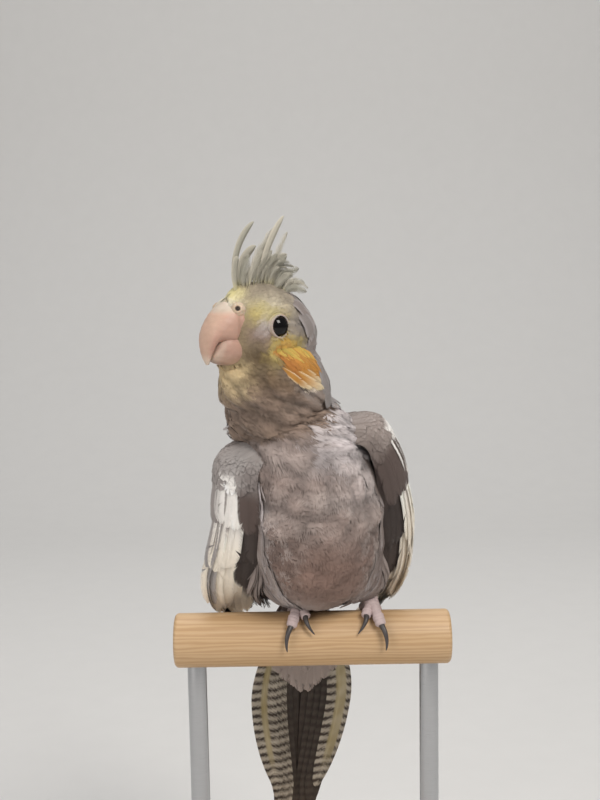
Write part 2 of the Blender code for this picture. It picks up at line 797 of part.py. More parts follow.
def primary(lines, k):
    """One long wing feather; all share the wing's line and its normals, so that they lie parallel."""
    share = k / (PRIMARIES - 1)
    tip = PRIMARY_TIPS[0] + (PRIMARY_TIPS[1] - PRIMARY_TIPS[0]) * share
    along, width = np.array(PRIMARY_PROFILE).T
    s = PRIMARY_ROOT + (tip - PRIMARY_ROOT) * along
    middle = wing_point(lines, s, PRIMARY_LINE, 0.0)
    out = unit(middle - wing_point(lines, s, PRIMARY_LINE, MM))
    across = unit(wing_point(lines, s, PRIMARY_LINE + 0.02, 0.0) - middle)
    sunk = np.interp(s, *np.array(PRIMARY_DEPTH).T)[:, None] * MM - k * STEP
    middle = middle + across * (k - 1) * PRIMARY_SHIFT - out * sunk
    edge = np.array([-1.0, 1.0])[None, :, None]
    face = middle[:, None] + edge * across[:, None] * (PRIMARY_HALF_WIDTH * width)[:, None, None]
    thick = np.where(along < 0.9, VANE, VANE_TIP)[:, None, None]
    back = face - out[:, None] * thick
    return vane("primary", to_world(pose_body(face)), to_world(pose_body(back)))


def wing(side):
    lines = wing_lines(side)
    draw = random.Random(11 if side > 0 else 12)
    pieces = [wing_arm(lines)] + [primary(lines, k) for k in range(PRIMARIES)]
    for tier in TIERS:
        pieces += wing_feathers(lines, tier, draw)
    return union("wing_" + ("left" if side > 0 else "right"), pieces, "MANIFOLD")


def tail_point(distance, across, height):
    """Points of the body frame at a distance down the tail, across it, and over its feathers' plane."""
    down = np.array([0.0, math.sin(TAIL_TILT), -math.cos(TAIL_TILT)])
    over = np.array([0.0, math.cos(TAIL_TILT), math.sin(TAIL_TILT)])
    side = np.array([1.0, 0.0, 0.0])
    distance, across, height = np.broadcast_arrays(distance, across, height)
    return TAIL_ROOT + distance[..., None] * down + across[..., None] * side + height[..., None] * over


def rectrix(pair, side):
    """A long tail feather, bowed outwards where the tail is widest; the outer pairs lie underneath."""
    length, bow = RECTRICES[pair]
    along, width, thick = np.array(RECTRIX_PROFILE).T * np.array([[1.0], [RECTRIX_HALF_WIDTH], [VANE]])
    distance = RECTRIX_START + (length * MM - RECTRIX_START) * along
    spread = np.sin(np.pi * np.clip(distance / (2 * TAIL_BULGE), 0, 1)) * 0.62 + 0.38
    closing = spread * 0.5 + 0.5 - 0.004 * (distance - TAIL_BULGE) / MM
    spread = np.where(distance > TAIL_BULGE, closing, spread)
    middle = side * np.maximum(bow * MM * spread, width + GAP if pair else 0)
    level = -STEP * (pair + 1 if pair else (side < 0))
    edge = np.array([-1.0, 1.0])[None]
    across = middle[:, None] + edge * width[:, None]
    face = tail_point(distance[:, None], across, level)
    back = tail_point(distance[:, None], across, level - thick[:, None])
    return vane("rectrix", to_world(pose_body(face)), to_world(pose_body(back)))


def tail_covert(across, row):
    """A broad short feather over or under the tail's root."""
    length = TAIL_COVERT_LENGTH[row] * (1 - 0.02 * abs(across))
    along, width, thick = vane_rows(0.4)
    turn = 1 if row == "upper" else -1
    distance = (2 * MM + (length - 2 * MM) * along)[:, None]
    start, end = (0.2, 2.6) if row == "upper" else (-6.4, -8.8)
    edge = np.array([-1.0, 1.0])[None]
    place = across * MM * (0.75 + 0.5 * along)[:, None] + edge * (2.5 * MM * width)[:, None]
    level = (start + (end - start) * along)[:, None] * MM + edge * turn * STEP * 0.72
    face = tail_point(distance, place, level)
    back = tail_point(distance, place, level - thick[:, None])
    return vane("tail_covert", to_world(pose_body(face)), to_world(pose_body(back)))


def tail():
    rows = through(TAIL_CORE, TAIL_CORE_RINGS) * MM
    angle = np.linspace(0, 2 * math.pi, TAIL_CORE_SIDES, endpoint=False)
    rise = np.sin(angle)
    height = np.where(rise > 0, rows[:, 3:4], rows[:, 2:3]) * rise - TAIL_STACK_MIDDLE
    core = tail_point(rows[:, 0:1], rows[:, 1:2] * np.cos(angle), height)
    pieces = [loft("core", to_world(pose_body(core)))]
    pieces += [rectrix(pair, side) for pair in range(len(RECTRICES)) for side in (1, -1)]
    pieces += [tail_covert(across, row) for row in TAIL_COVERT_LENGTH for across in TAIL_COVERTS]
    return union("tail", pieces, "MANIFOLD")


def crest_feather(row):
    """A narrow blade from the crown, curved through its bend to its tip."""
    root_f, root_l, bend_f, bend_u, tip_f, tip_u, half = row
    start = np.array([root_f, root_l, crown_height(root_f) - CREST_SUNK])
    bend = np.array([bend_f, root_l * 1.15, bend_u])
    end = np.array([tip_f, root_l * 1.3, tip_u])
    share, width, thick = np.array(CREST_PROFILE).T
    share = share[:, None]
    middle = 2 * bend - (start + end) / 2
    path = start * (1 - share) ** 2 + middle * 2 * share * (1 - share) + end * share**2
    ahead = directions(path)
    flat = unit(np.cross([0.0, 1.0, 0.0], ahead))
    edge = np.array([-1.0, 1.0])[None, :, None]
    face = path[:, None] + flat[:, None] * edge * half * width[:, None, None]
    side = np.array([0.0, 0.5, 0.0]) * thick[:, None, None]
    sides = [to_world(pose_head((face + shift) * MM)) for shift in (side, -side)]
    return vane("crest_feather", *sides)


def crown_height(f):
    """Height of the crown over the middle of the head at a place along it."""
    rows = np.array(SKULL)
    return float(np.interp(f, rows[:, 0], rows[:, 2]))


def crest():
    """A low ridge along the crown that the crest's feathers grow from."""
    f = np.linspace(*RIDGE_ENDS, RIDGE_RINGS)
    rise = np.sin(np.linspace(0.8, math.pi - 0.4, RIDGE_RINGS))
    centres = np.column_stack([f, 0 * f, [crown_height(v) - RIDGE_DROP for v in f]])
    across = np.tile([0.0, 1.0, 0.0], (RIDGE_RINGS, 1))
    backs = np.tile([0.0, 0.0, 1.0], (RIDGE_RINGS, 1))
    sizes = [size * rise * MM for size in RIDGE_SIZE]
    ridge = sections(centres * MM, across, backs, *sizes, 8)
    pieces = [loft("ridge", to_world(pose_head(ridge)))] + [crest_feather(row) for row in CREST]
    return union("crest", pieces, "MANIFOLD")


# ---------------------------------------------------------------- legs and feet


def leg(side):
    """Feathered thigh in the body frame: y, z and radius."""
    rows = through(LEG, LEG_RINGS) * MM
    centres = np.column_stack([np.linspace(*LEG_X[side], LEG_RINGS) * MM, rows[:, 0], rows[:, 1]])
    across = np.tile([1.0, 0.0, 0.0], (len(rows), 1))
    backs = unit(np.cross(directions(centres), across))
    radius = rows[:, 2]
    rings = sections(centres, across, backs, radius, radius, radius, LEG_SIDES)
    return loft("leg_" + side, to_world(pose_body(rings)))


def tube(name, path, radii, sides=8):
    """A round limb along a path of points, its radius changing from point to point."""
    path = np.asarray(path, float)
    curve = bpy.data.curves.new(name, "CURVE")
    curve.dimensions = "3D"
    curve.bevel_depth = 1.0
    curve.bevel_resolution = max(0, sides // 4)
    curve.use_fill_caps = True
    spline = curve.splines.new("POLY")
    spline.points.add(len(path) - 1)
    for point, place, radius in zip(spline.points, path, radii):
        point.co = (*place, 1.0)
        point.radius = radius
    holder = bpy.data.objects.new(name, curve)
    bpy.context.scene.collection.objects.link(holder)
    bpy.context.view_layer.update()
    graph = bpy.context.evaluated_depsgraph_get()
    mesh = bpy.data.meshes.new_from_object(holder.evaluated_get(graph))
    bpy.data.objects.remove(holder)
    work = bmesh.new()
    work.from_mesh(mesh)
    bmesh.ops.remove_doubles(work, verts=work.verts, dist=1e-6)
    bmesh.ops.recalc_face_normals(work, faces=work.faces)
    work.to_mesh(mesh)
    work.free()
    obj = bpy.data.objects.new(name, mesh)
    bpy.context.scene.collection.objects.link(obj)
    return obj


def toe_path(side, toe, turn_from, turn_to, count, lift):
    """Points round the perch at the toe's height; turns are degrees from its top, forward positive."""
    splay, wrap, size, _ = TOES[toe]
    out = 1 if side == "left" else -1
    turns = np.radians(np.linspace(turn_from, turn_to, count))
    radius = PERCH_RADIUS + GAP + lift
    across = FOOT_X[side] + out * math.sin(math.radians(splay)) * radius * np.abs(turns) * 1.1
    return np.column_stack(
        [across, -radius * np.sin(turns), radius * np.cos(turns) - PERCH_RADIUS]
    )


def foot(side, collection, surface):
    """Shank and four toes, two over the front of the perch and two over its back."""
    pieces = []
    for toe, (_, wrap, size, _) in TOES.items():
        radius = TOE_RADIUS * size
        path = toe_path(side, toe, math.copysign(TOE_START, -wrap), wrap, TOE_RINGS, radius)
        swell = 1 + TOE_PADS * np.sin(np.linspace(0, 3 * math.pi, TOE_RINGS))
        taper = np.linspace(1.1, 0.82, TOE_RINGS)
        pieces.append(tube(toe, to_world(path), radius * swell * taper))
    shank = np.array(SHANK) * MM
    path = np.column_stack([np.full(len(shank), FOOT_X[side]), shank[:, :2]])
    pieces.append(tube("shank", to_world(path), shank[:, 2]))
    made = union("foot_" + side, pieces)
    cutters = [cutter(torso()), cutter(leg(side)), perch(GAP)]
    return finish(subtract(made, cutters), collection, surface)


def claw(side, toe, collection, surface):
    """A curved horn cone that carries on round the perch from the toe's end."""
    _, wrap, size, length = TOES[toe]
    sign = 1 if wrap > 0 else -1
    toe_end = TOE_RADIUS * size
    start = wrap + sign * math.degrees(GAP * 2.2 / (PERCH_RADIUS + toe_end))
    end = wrap + sign * math.degrees(length * MM / (PERCH_RADIUS + toe_end))
    path = toe_path(side, toe, start, end, CLAW_RINGS, toe_end)
    share = np.linspace(0, 1, CLAW_RINGS)
    centre = np.array([0.0, 0.0, -PERCH_RADIUS])
    inward = unit((centre - path) * (0, 1, 1))
    arch = CLAW_ARCH * np.sin(math.pi * share) - CLAW_DROP * share**2
    path = path - inward * arch[:, None]
    radii = CLAW_RADIUS * (1 - share * 0.82)
    name = f"claw_{side}_{toe[-1]}"
    made = tube(name, to_world(path), radii)
    return finish(subtract(made, [perch(GAP)]), collection, surface)


# ---------------------------------------------------------------- stand


def perch(grow=0.0):
    """The round perch, or that shape swollen by the gap."""
    work = bmesh.new()
    bmesh.ops.create_cone(
        work,
        cap_ends=True,
        segments=36,
        radius1=PERCH_RADIUS + grow,
        radius2=PERCH_RADIUS + grow,
        depth=2 * (PERCH_HALF_LENGTH + grow),
    )
    mesh = bpy.data.meshes.new("stand_perch")
    work.to_mesh(mesh)
    work.free()
    obj = bpy.data.objects.new("stand_perch", mesh)
    bpy.context.scene.collection.objects.link(obj)
    obj.rotation_euler = (0.0, math.radians(90), 0.0)
    obj.location = (0.0, PERCH_Y, PERCH_TOP - PERCH_RADIUS)
    return obj


def bevelled(obj, width):
    edge = obj.modifiers.new("edge", "BEVEL")
    edge.width = width
    edge.segments = 2
    edge.limit_method = "ANGLE"
    edge.angle_limit = math.radians(50)
    return obj


def stand(collection, wood, metal):
    work = bmesh.new()
    bmesh.ops.create_cone(
        work, cap_ends=True, segments=56, radius1=BASE_RADIUS, radius2=BASE_RADIUS, depth=BASE_HEIGHT
    )
    mesh = bpy.data.meshes.new("stand_base")
    work.to_mesh(mesh)
    work.free()
    base = bpy.data.objects.new("stand_base", mesh)
    bpy.context.scene.collection.objects.link(base)
    base.location = (0.0, 0.0, BASE_HEIGHT / 2)
    finish(bevelled(base, BASE_EDGE), collection, wood)
    finish(bevelled(perch(), PERCH_EDGE), collection, wood)
    for side, x in (("left", ROD_X), ("right", -ROD_X)):
        bottom = BASE_HEIGHT + GAP
        top = PERCH_TOP - PERCH_RADIUS
        path = [(x, PERCH_Y, bottom), (x, PERCH_Y, top)]
        rod = tube("stand_rod_" + side, path, [ROD_RADIUS] * 2, sides=16)
        finish(subtract(rod, [perch(GAP)]), collection, metal)


# ---------------------------------------------------------------- assembly


def main():
    clear_scene()
    model = new_collection("cockatiel")
    plumage = material("grey_plumage", BODY_GREY, 0.85)
    face = material("face_plumage", FACE, 0.85)
    wing_grey = material("wing_plumage", WING_GREY, 0.75)
    tail_grey = material("tail_plumage", TAIL_GREY, 0.75)
    horn = material("pink_horn", HORN, 0.45)
    scaly = material("foot_skin", SKIN, 0.6)
    dark_horn = material("claw_horn", CLAW, 0.4)
    cornea = material("eye_black", EYE, 0.08)
    crest_grey = material("crest_plumage", CREST_GREY, 0.8)
    wood = material("turned_wood", WOOD, 0.5)
    metal = material("satin_rod", METAL, 0.35, 1.0)

    stand(model, wood, metal)
    finish(keep_largest(torso()), model, plumage)
    bills = [cutter(bill(BILL_UPPER)), cutter(bill(BILL_LOWER))]
    finish(subtract(neck(), [cutter(torso()), cutter(skull()), *bills]), model, plumage)
    head(model, face)
    for side, sign in (("left", 1), ("right", -1)):
        eye = eyeball(sign)
        eye.name = "eye_" + side
        finish(eye, model, cornea)
    upper = subtract(bill(BILL_UPPER), [cutter(skull()), cutter(cere(1)), cutter(cere(-1))])
    upper.name = "bill_upper"
    finish(upper, model, horn)
    lower = subtract(bill(BILL_LOWER), [cutter(skull()), cutter(bill(BILL_UPPER))])
    lower.name = "bill_lower"
    finish(lower, model, horn)
    finish(subtract(crest(), [cutter(skull())], "MANIFOLD"), model, crest_grey)
    for side, sign in (("left", 1), ("right", -1)):
        finish(subtract(leg(side), [cutter(torso())]), model, plumage)
        foot(side, model, scaly)
        for toe in TOES:
            claw(side, toe, model, dark_horn)
        others = [cutter(torso()), cutter(neck()), cutter(leg(side)), perch(GAP)]
        finish(subtract(wing(sign), others, "MANIFOLD"), model, wing_grey)
    finish(subtract(tail(), [cutter(torso())], "MANIFOLD"), model, tail_grey)


main()
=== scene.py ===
"""Looks of a life-size still cockatiel that grips a round perch on a plain display stand.

Lengths are in metres in the row's frame: +Z up, the breast towards -Y, the bird's left towards +X.
The bird is laid out in three frames of its own, as its solids are:
  bird frame   origin on the perch's top line, axes as the row's
  body frame   trunk, wings and tail, upright and symmetric about x = 0, facing -Y
  head frame   f forward, l to the bird's left, u up, origin midway between the eyes
Plumage is solid mesh: vanes made of barbs, placed over one skin that runs from rump to bill.
"""

import logging
import math
from dataclasses import dataclass, field
from enum import Enum
from typing import Callable

import bpy
import numpy as np
from mathutils import Matrix
from mathutils.bvhtree import BVHTree

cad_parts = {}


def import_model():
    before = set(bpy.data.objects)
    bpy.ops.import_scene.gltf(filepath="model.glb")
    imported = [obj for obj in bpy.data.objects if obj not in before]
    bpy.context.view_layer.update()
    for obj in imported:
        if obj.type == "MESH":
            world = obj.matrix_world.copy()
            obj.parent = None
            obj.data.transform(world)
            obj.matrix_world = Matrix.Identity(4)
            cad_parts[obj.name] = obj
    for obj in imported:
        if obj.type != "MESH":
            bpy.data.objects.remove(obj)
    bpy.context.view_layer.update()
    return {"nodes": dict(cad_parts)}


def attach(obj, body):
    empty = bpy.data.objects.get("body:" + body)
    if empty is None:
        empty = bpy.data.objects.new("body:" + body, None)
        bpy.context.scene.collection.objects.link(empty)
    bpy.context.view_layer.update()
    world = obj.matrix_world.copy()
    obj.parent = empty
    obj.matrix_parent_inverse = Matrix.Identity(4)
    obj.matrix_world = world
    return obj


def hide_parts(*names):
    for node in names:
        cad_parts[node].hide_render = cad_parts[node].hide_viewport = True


Array = np.ndarray
Draw = np.random.Generator
Measure = Callable[[Array], Array]
Tint = Callable[[Array, Array, Array], Array]
Pair = tuple[float, float]
Triple = tuple[float, float, float]
Rows = tuple[tuple[float, ...], ...]
Piece = bpy.types.Object
Socket = bpy.types.NodeSocket
LOG = logging.getLogger("cockatiel")
MM = 0.001


# ---------------------------------------------------------------- numbers and colours


class Side(Enum):
    """A side of the bird or of its stand; the value is the sign of x there."""

    LEFT = 1
    RIGHT = -1

    @property
    def label(self) -> str:
        """The side's name in the names of pieces and nodes."""
        return self.name.lower()


def colour(code: str) -> Array:
    """A screen colour written as six hex digits, as linear red, green and blue."""
    screen = np.array([int(code[k : k + 2], 16) for k in (0, 2, 4)]) / 255
    return np.where(screen <= 0.04045, screen / 12.92, ((screen + 0.055) / 1.055) ** 2.4)


def unit(vectors: Array) -> Array:
    """Vectors scaled to length 1."""
    return vectors / np.maximum(np.linalg.norm(vectors, axis=-1, keepdims=True), 1e-12)


def ease(value: Array, start: float, end: float) -> Array:
    """A smooth rise from 0 at start to 1 at end: 3x^2 - 2x^3."""
    share = np.clip((np.asarray(value, float) - start) / (end - start), 0, 1)
    return share * share * (3 - 2 * share)


def bell(value: Array, width: float) -> Array:
    """A bump of height 1 at 0: exp(-(value / width)^2)."""
    return np.exp(-((value / width) ** 2))


def blend(first: Array, second: Array, share: Array) -> Array:
    """Two colours mixed by a share for each point."""
    share = np.asarray(share, float)[..., None]
    return first * (1 - share) + second * share


def layers(base: Array, *coats: tuple[Array, Array]) -> Array:
    """A colour with others laid over it in turn.

    Args:
        base: the lowest colour.
        coats: a colour and its share for each point, from the lowest up.

    Returns:
        The mixed colour for each point.
    """
    for tint, share in coats:
        base = blend(base, tint, share)
    return base


def full_turn(count: int) -> Array:
    """Angles spread evenly over one turn, which don't repeat the first."""
    return np.linspace(0, 2 * math.pi, count, endpoint=False)


def round_ways(turn: Array, first: Array, second: Array) -> Array:
    """Directions round each ring: cos(turn) * first + sin(turn) * second."""
    return np.cos(turn)[None, :, None] * first[:, None] + np.sin(turn)[None, :, None] * second[:, None]


def along_axes(start: Array | float, axes: tuple[Array, ...], *amounts: Array) -> Array:
    """A start moved along axes: start + amount * axis, summed over the axes.

    Args:
        start: where to start from.
        axes: directions of three numbers.
        amounts: a distance along each axis for each point.

    Returns:
        The points.
    """
    for axis, amount in zip(axes, amounts):
        start = start + amount[..., None] * axis
    return start


def station(share: Array, count: int) -> tuple[Array, Array]:
    """The station before a place and the part of the way to the next.

    Args:
        share: places from 0 at the first station to 1 at the last.
        count: how many stations there are.

    Returns:
        Numbers of stations, and parts from 0 to 1.
    """
    place = np.clip(share, 0, 1) * (count - 1)
    at = np.minimum(place.astype(int), count - 2)
    return at, place - at


def parabola(start: Array, middle: Array, end: Array, share: Array) -> Array:
    """Points on the parabola from start at share 0 through middle at 1/2 to end at 1."""
    control = 2 * middle - (start + end) / 2
    return start * (1 - share) ** 2 + 2 * control * share * (1 - share) + end * share**2


def through(rows: Array, count: int) -> Array:
    """Rows on a Catmull-Rom curve through the given ones.

    Args:
        rows: the rows that the curve passes through.
        count: how many rows are wanted.

    Returns:
        The rows, evenly spaced in the order of the given ones.
    """
    rows = np.asarray(rows, float)
    padded = np.vstack([2 * rows[0] - rows[1], rows, 2 * rows[-1] - rows[-2]])
    place = np.linspace(0, len(rows) - 1, count)
    at = np.minimum(place.astype(int), len(rows) - 2)
    t = (place - at)[:, None]
    a, b, c, d = (padded[at + k] for k in range(4))
    return 0.5 * (
        2 * b + (c - a) * t + (2 * a - 5 * b + 4 * c - d) * t**2 + (3 * b - a - 3 * c + d) * t**3
    )


def ripple(points: Array, size: float, seed: int) -> Array:
    """Smooth noise: the mean of seven sine waves in seeded directions.

    Args:
        points: places.
        size: mean wavelength, in the places' own unit.
        seed: source of chance.

    Returns:
        A number from -1 to 1 for each place.
    """
    draw = np.random.default_rng(seed)
    waves = unit(draw.normal(size=(7, 3))) * (2 * math.pi / size) * draw.uniform(0.6, 1.5, (7, 1))
    phases = draw.uniform(0, 2 * math.pi, 7)
    return np.clip(np.sin(points @ waves.T + phases).mean(-1) * 1.9, -1, 1)


def mottle(first: Array, second: Array, points: Array, size: float, seed: int) -> Array:
    """Two colours in soft clouds of that size."""
    return blend(first, second, 0.5 + 0.5 * ripple(points, size, seed))


# ---------------------------------------------------------------- frames of the bird


@dataclass(frozen=True)
class Pose:
    """Where the bird's own frames lie in the row's frame."""

    perch_y: float
    perch_top: float
    body_x: float = 2.5 * MM
    body_yaw: float = math.radians(10)
    body_lean: float = math.radians(15)
    lean_start: float = 5 * MM
    lean_end: float = 60 * MM
    spine: Pair = (-160 * MM, 100 * MM)
    head_centre: Triple = (-15 * MM, -8 * MM, 95 * MM)
    head_yaw: float = math.radians(50)
    head_pitch: float = math.radians(16)

    def bird(self, points: Array) -> Array:
        """Bird frame to row frame."""
        return np.asarray(points, float) + (0.0, self.perch_y, self.perch_top)

    def body(self, points: Array) -> Array:
        """Body frame to row frame: a sideways bend that grows with height, then a turn about z.

        Args:
            points: places in the body frame.

        Returns:
            The same places in the row frame.
        """
        x, y, z = np.moveaxis(np.asarray(points, float), -1, 0)
        steps = np.linspace(*self.spine, 521)
        lean = self.body_lean * ease(steps, self.lean_start, self.lean_end)
        step = steps[1] - steps[0]
        spine_x = -np.cumsum(np.sin(lean)) * step
        spine_z = steps[0] + np.cumsum(np.cos(lean)) * step - step
        angle = np.interp(z, steps, lean)
        across = np.interp(z, steps, spine_x) + x * np.cos(angle)
        up = np.interp(z, steps, spine_z) + x * np.sin(angle)
        cos, sin = math.cos(self.body_yaw), math.sin(self.body_yaw)
        turned = [across * cos - y * sin + self.body_x, across * sin + y * cos, up]
        return self.bird(np.stack(turned, -1))

    def head_axes(self) -> Array:
        """Works out which way the head looks.

        Returns:
            Its forward, left and up as three rows, in the row frame.
        """
        cos, sin = math.cos(self.head_pitch), math.sin(self.head_pitch)
        level = np.array([-math.sin(self.head_yaw), -math.cos(self.head_yaw), 0.0])
        left = np.array([math.cos(self.head_yaw), -math.sin(self.head_yaw), 0.0])
        upright = np.array([0.0, 0.0, 1.0])
        return np.array([level * cos + upright * sin, left, upright * cos - level * sin])

    def head(self, points: Array) -> Array:
        """Head frame to row frame."""
        return self.bird(self.head_centre + np.asarray(points, float) @ self.head_axes())

    def level(self, points: Array) -> Array:
        """Row frame to the body's heading.

        Args:
            points: places in the row frame.

        Returns:
            Left, back and up from the perch's top line, turned back by the yaw, in millimetres.
        """
        x, y, z = np.moveaxis(points - self.bird(np.zeros(3)), -1, 0)
        x = x - self.body_x
        cos, sin = math.cos(self.body_yaw), math.sin(self.body_yaw)
        return np.stack([x * cos + y * sin, y * cos - x * sin, z]) / MM

    def in_head(self, points: Array) -> Array:
        """Row frame to head frame: forward, left and up in millimetres."""
        moved = points - self.bird(np.zeros(3)) - self.head_centre
        return np.moveaxis(moved @ self.head_axes().T / MM, -1, 0)


# ---------------------------------------------------------------- meshes


def grid_faces(rows: int, columns: int, closed: bool) -> Array:
    """Four-sided faces of a grid of points.

    Args:
        rows: rows of points.
        columns: points of a row.
        closed: whether the last column joins the first.

    Returns:
        Four numbers of points for each face.
    """
    last = columns if closed else columns - 1
    i, j = np.meshgrid(np.arange(rows - 1), np.arange(last), indexing="ij")
    k = (j + 1) % columns
    faces = [i * columns + j, i * columns + k, (i + 1) * columns + k, (i + 1) * columns + j]
    return np.stack(faces, -1).reshape(-1, 4)


def face_up(along: Array, out: Array, faces: Array) -> Array:
    """Turns the faces of a flat leaf so that all show the same side: out crossed with against-along.

    Args:
        along: share along the leaf of each point.
        out: share out from its middle line.
        faces: numbers of points for each face.

    Returns:
        The faces, some of them with their order turned round.
    """
    first, second, last = faces[:, 0], faces[:, 1], faces[:, -1]
    area = (out[second] - out[first]) * (along[first] - along[last])
    area = area - (out[last] - out[first]) * (along[first] - along[second])
    return np.where(area[:, None] < 0, faces[:, ::-1], faces)


def make_mesh(name: str, points: Array, faces: Array) -> Piece:
    """Makes a mesh object.

    Args:
        name: name of mesh and object.
        points: places, in any shape that ends in three.
        faces: numbers of points, equally many for each face.

    Returns:
        The object, linked to the scene.
    """
    mesh = bpy.data.meshes.new(name)
    mesh.vertices.add(points.size // 3)
    mesh.vertices.foreach_set("co", points.astype(np.float32).ravel())
    mesh.loops.add(faces.size)
    mesh.loops.foreach_set("vertex_index", faces.astype(np.int32).ravel())
    mesh.polygons.add(len(faces))
    mesh.polygons.foreach_set("loop_start", np.arange(0, faces.size, faces.shape[1], dtype=np.int32))
    mesh.update(calc_edges=True)
    mesh.shade_smooth()
    piece = bpy.data.objects.new(name, mesh)
    bpy.context.scene.collection.objects.link(piece)
    return piece


def face_out(piece: Piece) -> None:
    """Flips a closed body whose volume comes out negative.

    Args:
        piece: the body.
    """
    mesh = piece.data
    points = np.empty(len(mesh.vertices) * 3)
    mesh.vertices.foreach_get("co", points)
    points = points.reshape(-1, 3) - points.reshape(-1, 3).mean(0)
    mesh.calc_loop_triangles()
    corners = np.empty(len(mesh.loop_triangles) * 3, np.int32)
    mesh.loop_triangles.foreach_get("vertices", corners)
    if np.linalg.det(points[corners.reshape(-1, 3)]).sum() < 0:
        mesh.flip_normals()


def calm(piece: Piece, wanted: Array, share: float) -> None:
    """Turns a piece's shading normals towards wanted ones.

    Args:
        piece: the mesh object.
        wanted: a direction for each point.
        share: how far they turn, from 0 to 1.
    """
    own = np.empty(len(piece.data.vertices) * 3, np.float32)
    piece.data.vertex_normals.foreach_get("vector", own)
    mixed = unit(own.reshape(-1, 3) * (1 - share) + wanted.reshape(-1, 3) * share)
    piece.data.normals_split_custom_set_from_vertices(mixed)


def paint(piece: Piece, tint: Array) -> None:
    """Stores colours as the attribute tint.

    Args:
        piece: the mesh object.
        tint: a colour for each point.
    """
    rgba = np.ones((tint.size // 3, 4), np.float32)
    rgba[:, :3] = tint.reshape(-1, 3)
    layer = piece.data.color_attributes.new("tint", "FLOAT_COLOR", "POINT")
    layer.data.foreach_set("color", rgba.ravel())


def unwrap(piece: Piece, places: Array, name: str = "OFBake") -> None:
    """Stores a flat map.

    Args:
        piece: the mesh object.
        places: a place on the map for each point.
        name: name of the map.
    """
    corners = np.empty(len(piece.data.loops), np.int32)
    piece.data.loops.foreach_get("vertex_index", corners)
    layer = piece.data.uv_layers.new(name=name)
    layer.data.foreach_set("uv", places.reshape(-1, 2)[corners].astype(np.float32).ravel())


def close_ends(points: Array) -> Array:
    """Closes a tube by drawing its first and last ring in to a point.

    Args:
        points: rings of points.

    Returns:
        The rings, closed.
    """
    shut = points.copy()
    shut[0] = points[0].mean(0)
    shut[-1] = points[-1].mean(0)
    return shut


def even_map(rows: int, columns: int) -> Array:
    """Places on a flat map for a grid: its columns run to the right and its rows up."""
    up, right = np.meshgrid(np.linspace(0, 1, rows), np.linspace(0, 1, columns), indexing="ij")
    return np.stack([right, up], -1)


def tube(name: str, rings: Array, chart: str = "Skin") -> Piece:
    """A closed round body through rings of points, facing outwards.

    Args:
        name: name of the piece.
        rings: a grid of points, one ring a row; the first and last ring are drawn in to a point.
        chart: name of its map.

    Returns:
        The piece, with its map.
    """
    piece = make_mesh(name, rings, grid_faces(*rings.shape[:2], True))
    face_out(piece)
    unwrap(piece, even_map(*rings.shape[:2]), chart)
    return piece


def sweep(path: Array, radii: Array, sides: int, side_hint: Array) -> tuple[Array, Array, Array]:
    """Rings round a path.

    Args:
        path: points along the middle line.
        radii: radius at each point, or at each point and side.
        sides: points of a ring.
        side_hint: a direction that ring 0 starts towards.

    Returns:
        The rings, the shares along the path and the turns round it.
    """
    ahead = unit(np.gradient(path, axis=0))
    first = unit(side_hint - (side_hint * ahead).sum(-1, keepdims=True) * ahead)
    second = np.cross(ahead, first)
    turn = full_turn(sides)
    radii = np.broadcast_to(np.asarray(radii).reshape(len(path), -1), (len(path), sides))
    along = np.broadcast_to(np.linspace(0, 1, len(path))[:, None], radii.shape)
    rings = path[:, None] + round_ways(turn, first, second) * radii[..., None]
    return rings, along, np.broadcast_to(turn, radii.shape)


def wear(piece: Piece, finish: "Finish", slot: str, *nodes: str) -> Piece:
    """Gives a piece its finish, lets it ride on the model and stand for CAD nodes.

    Args:
        piece: the finished mesh object.
        finish: the look of its surface.
        slot: the record's material slot; not used.
        nodes: CAD nodes that it replaces.

    Returns:
        The same piece.
    """
    piece.data.materials.clear()
    piece.data.materials.append(finish.material())
    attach(piece, "root")
    if nodes:
        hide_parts(*nodes)
    LOG.info("%s: %d faces", piece.name, len(piece.data.polygons))
    return piece


# ---------------------------------------------------------------- shader language


class Value:
    """A number at a shader socket; Python's operators on it add Math nodes."""

    def __init__(self, tree: "Tree", socket: Socket) -> None:
        """Wraps one output socket."""
        self.tree = tree
        self.socket = socket

    def _join(self, operation: str, first: object, second: object) -> "Value":
        """Adds one Math node."""
        node = self.tree.node("ShaderNodeMath", {"operation": operation}, {0: first, 1: second})
        return Value(self.tree, node.outputs[0])

    def __add__(self, other: object) -> "Value":
        """Sum."""
        return self._join("ADD", self, other)

    def __radd__(self, other: object) -> "Value":
        """Sum with a plain number first."""
        return self._join("ADD", other, self)

    def __sub__(self, other: object) -> "Value":
        """Difference."""
        return self._join("SUBTRACT", self, other)

    def __mul__(self, other: object) -> "Value":
        """Product."""
        return self._join("MULTIPLY", self, other)


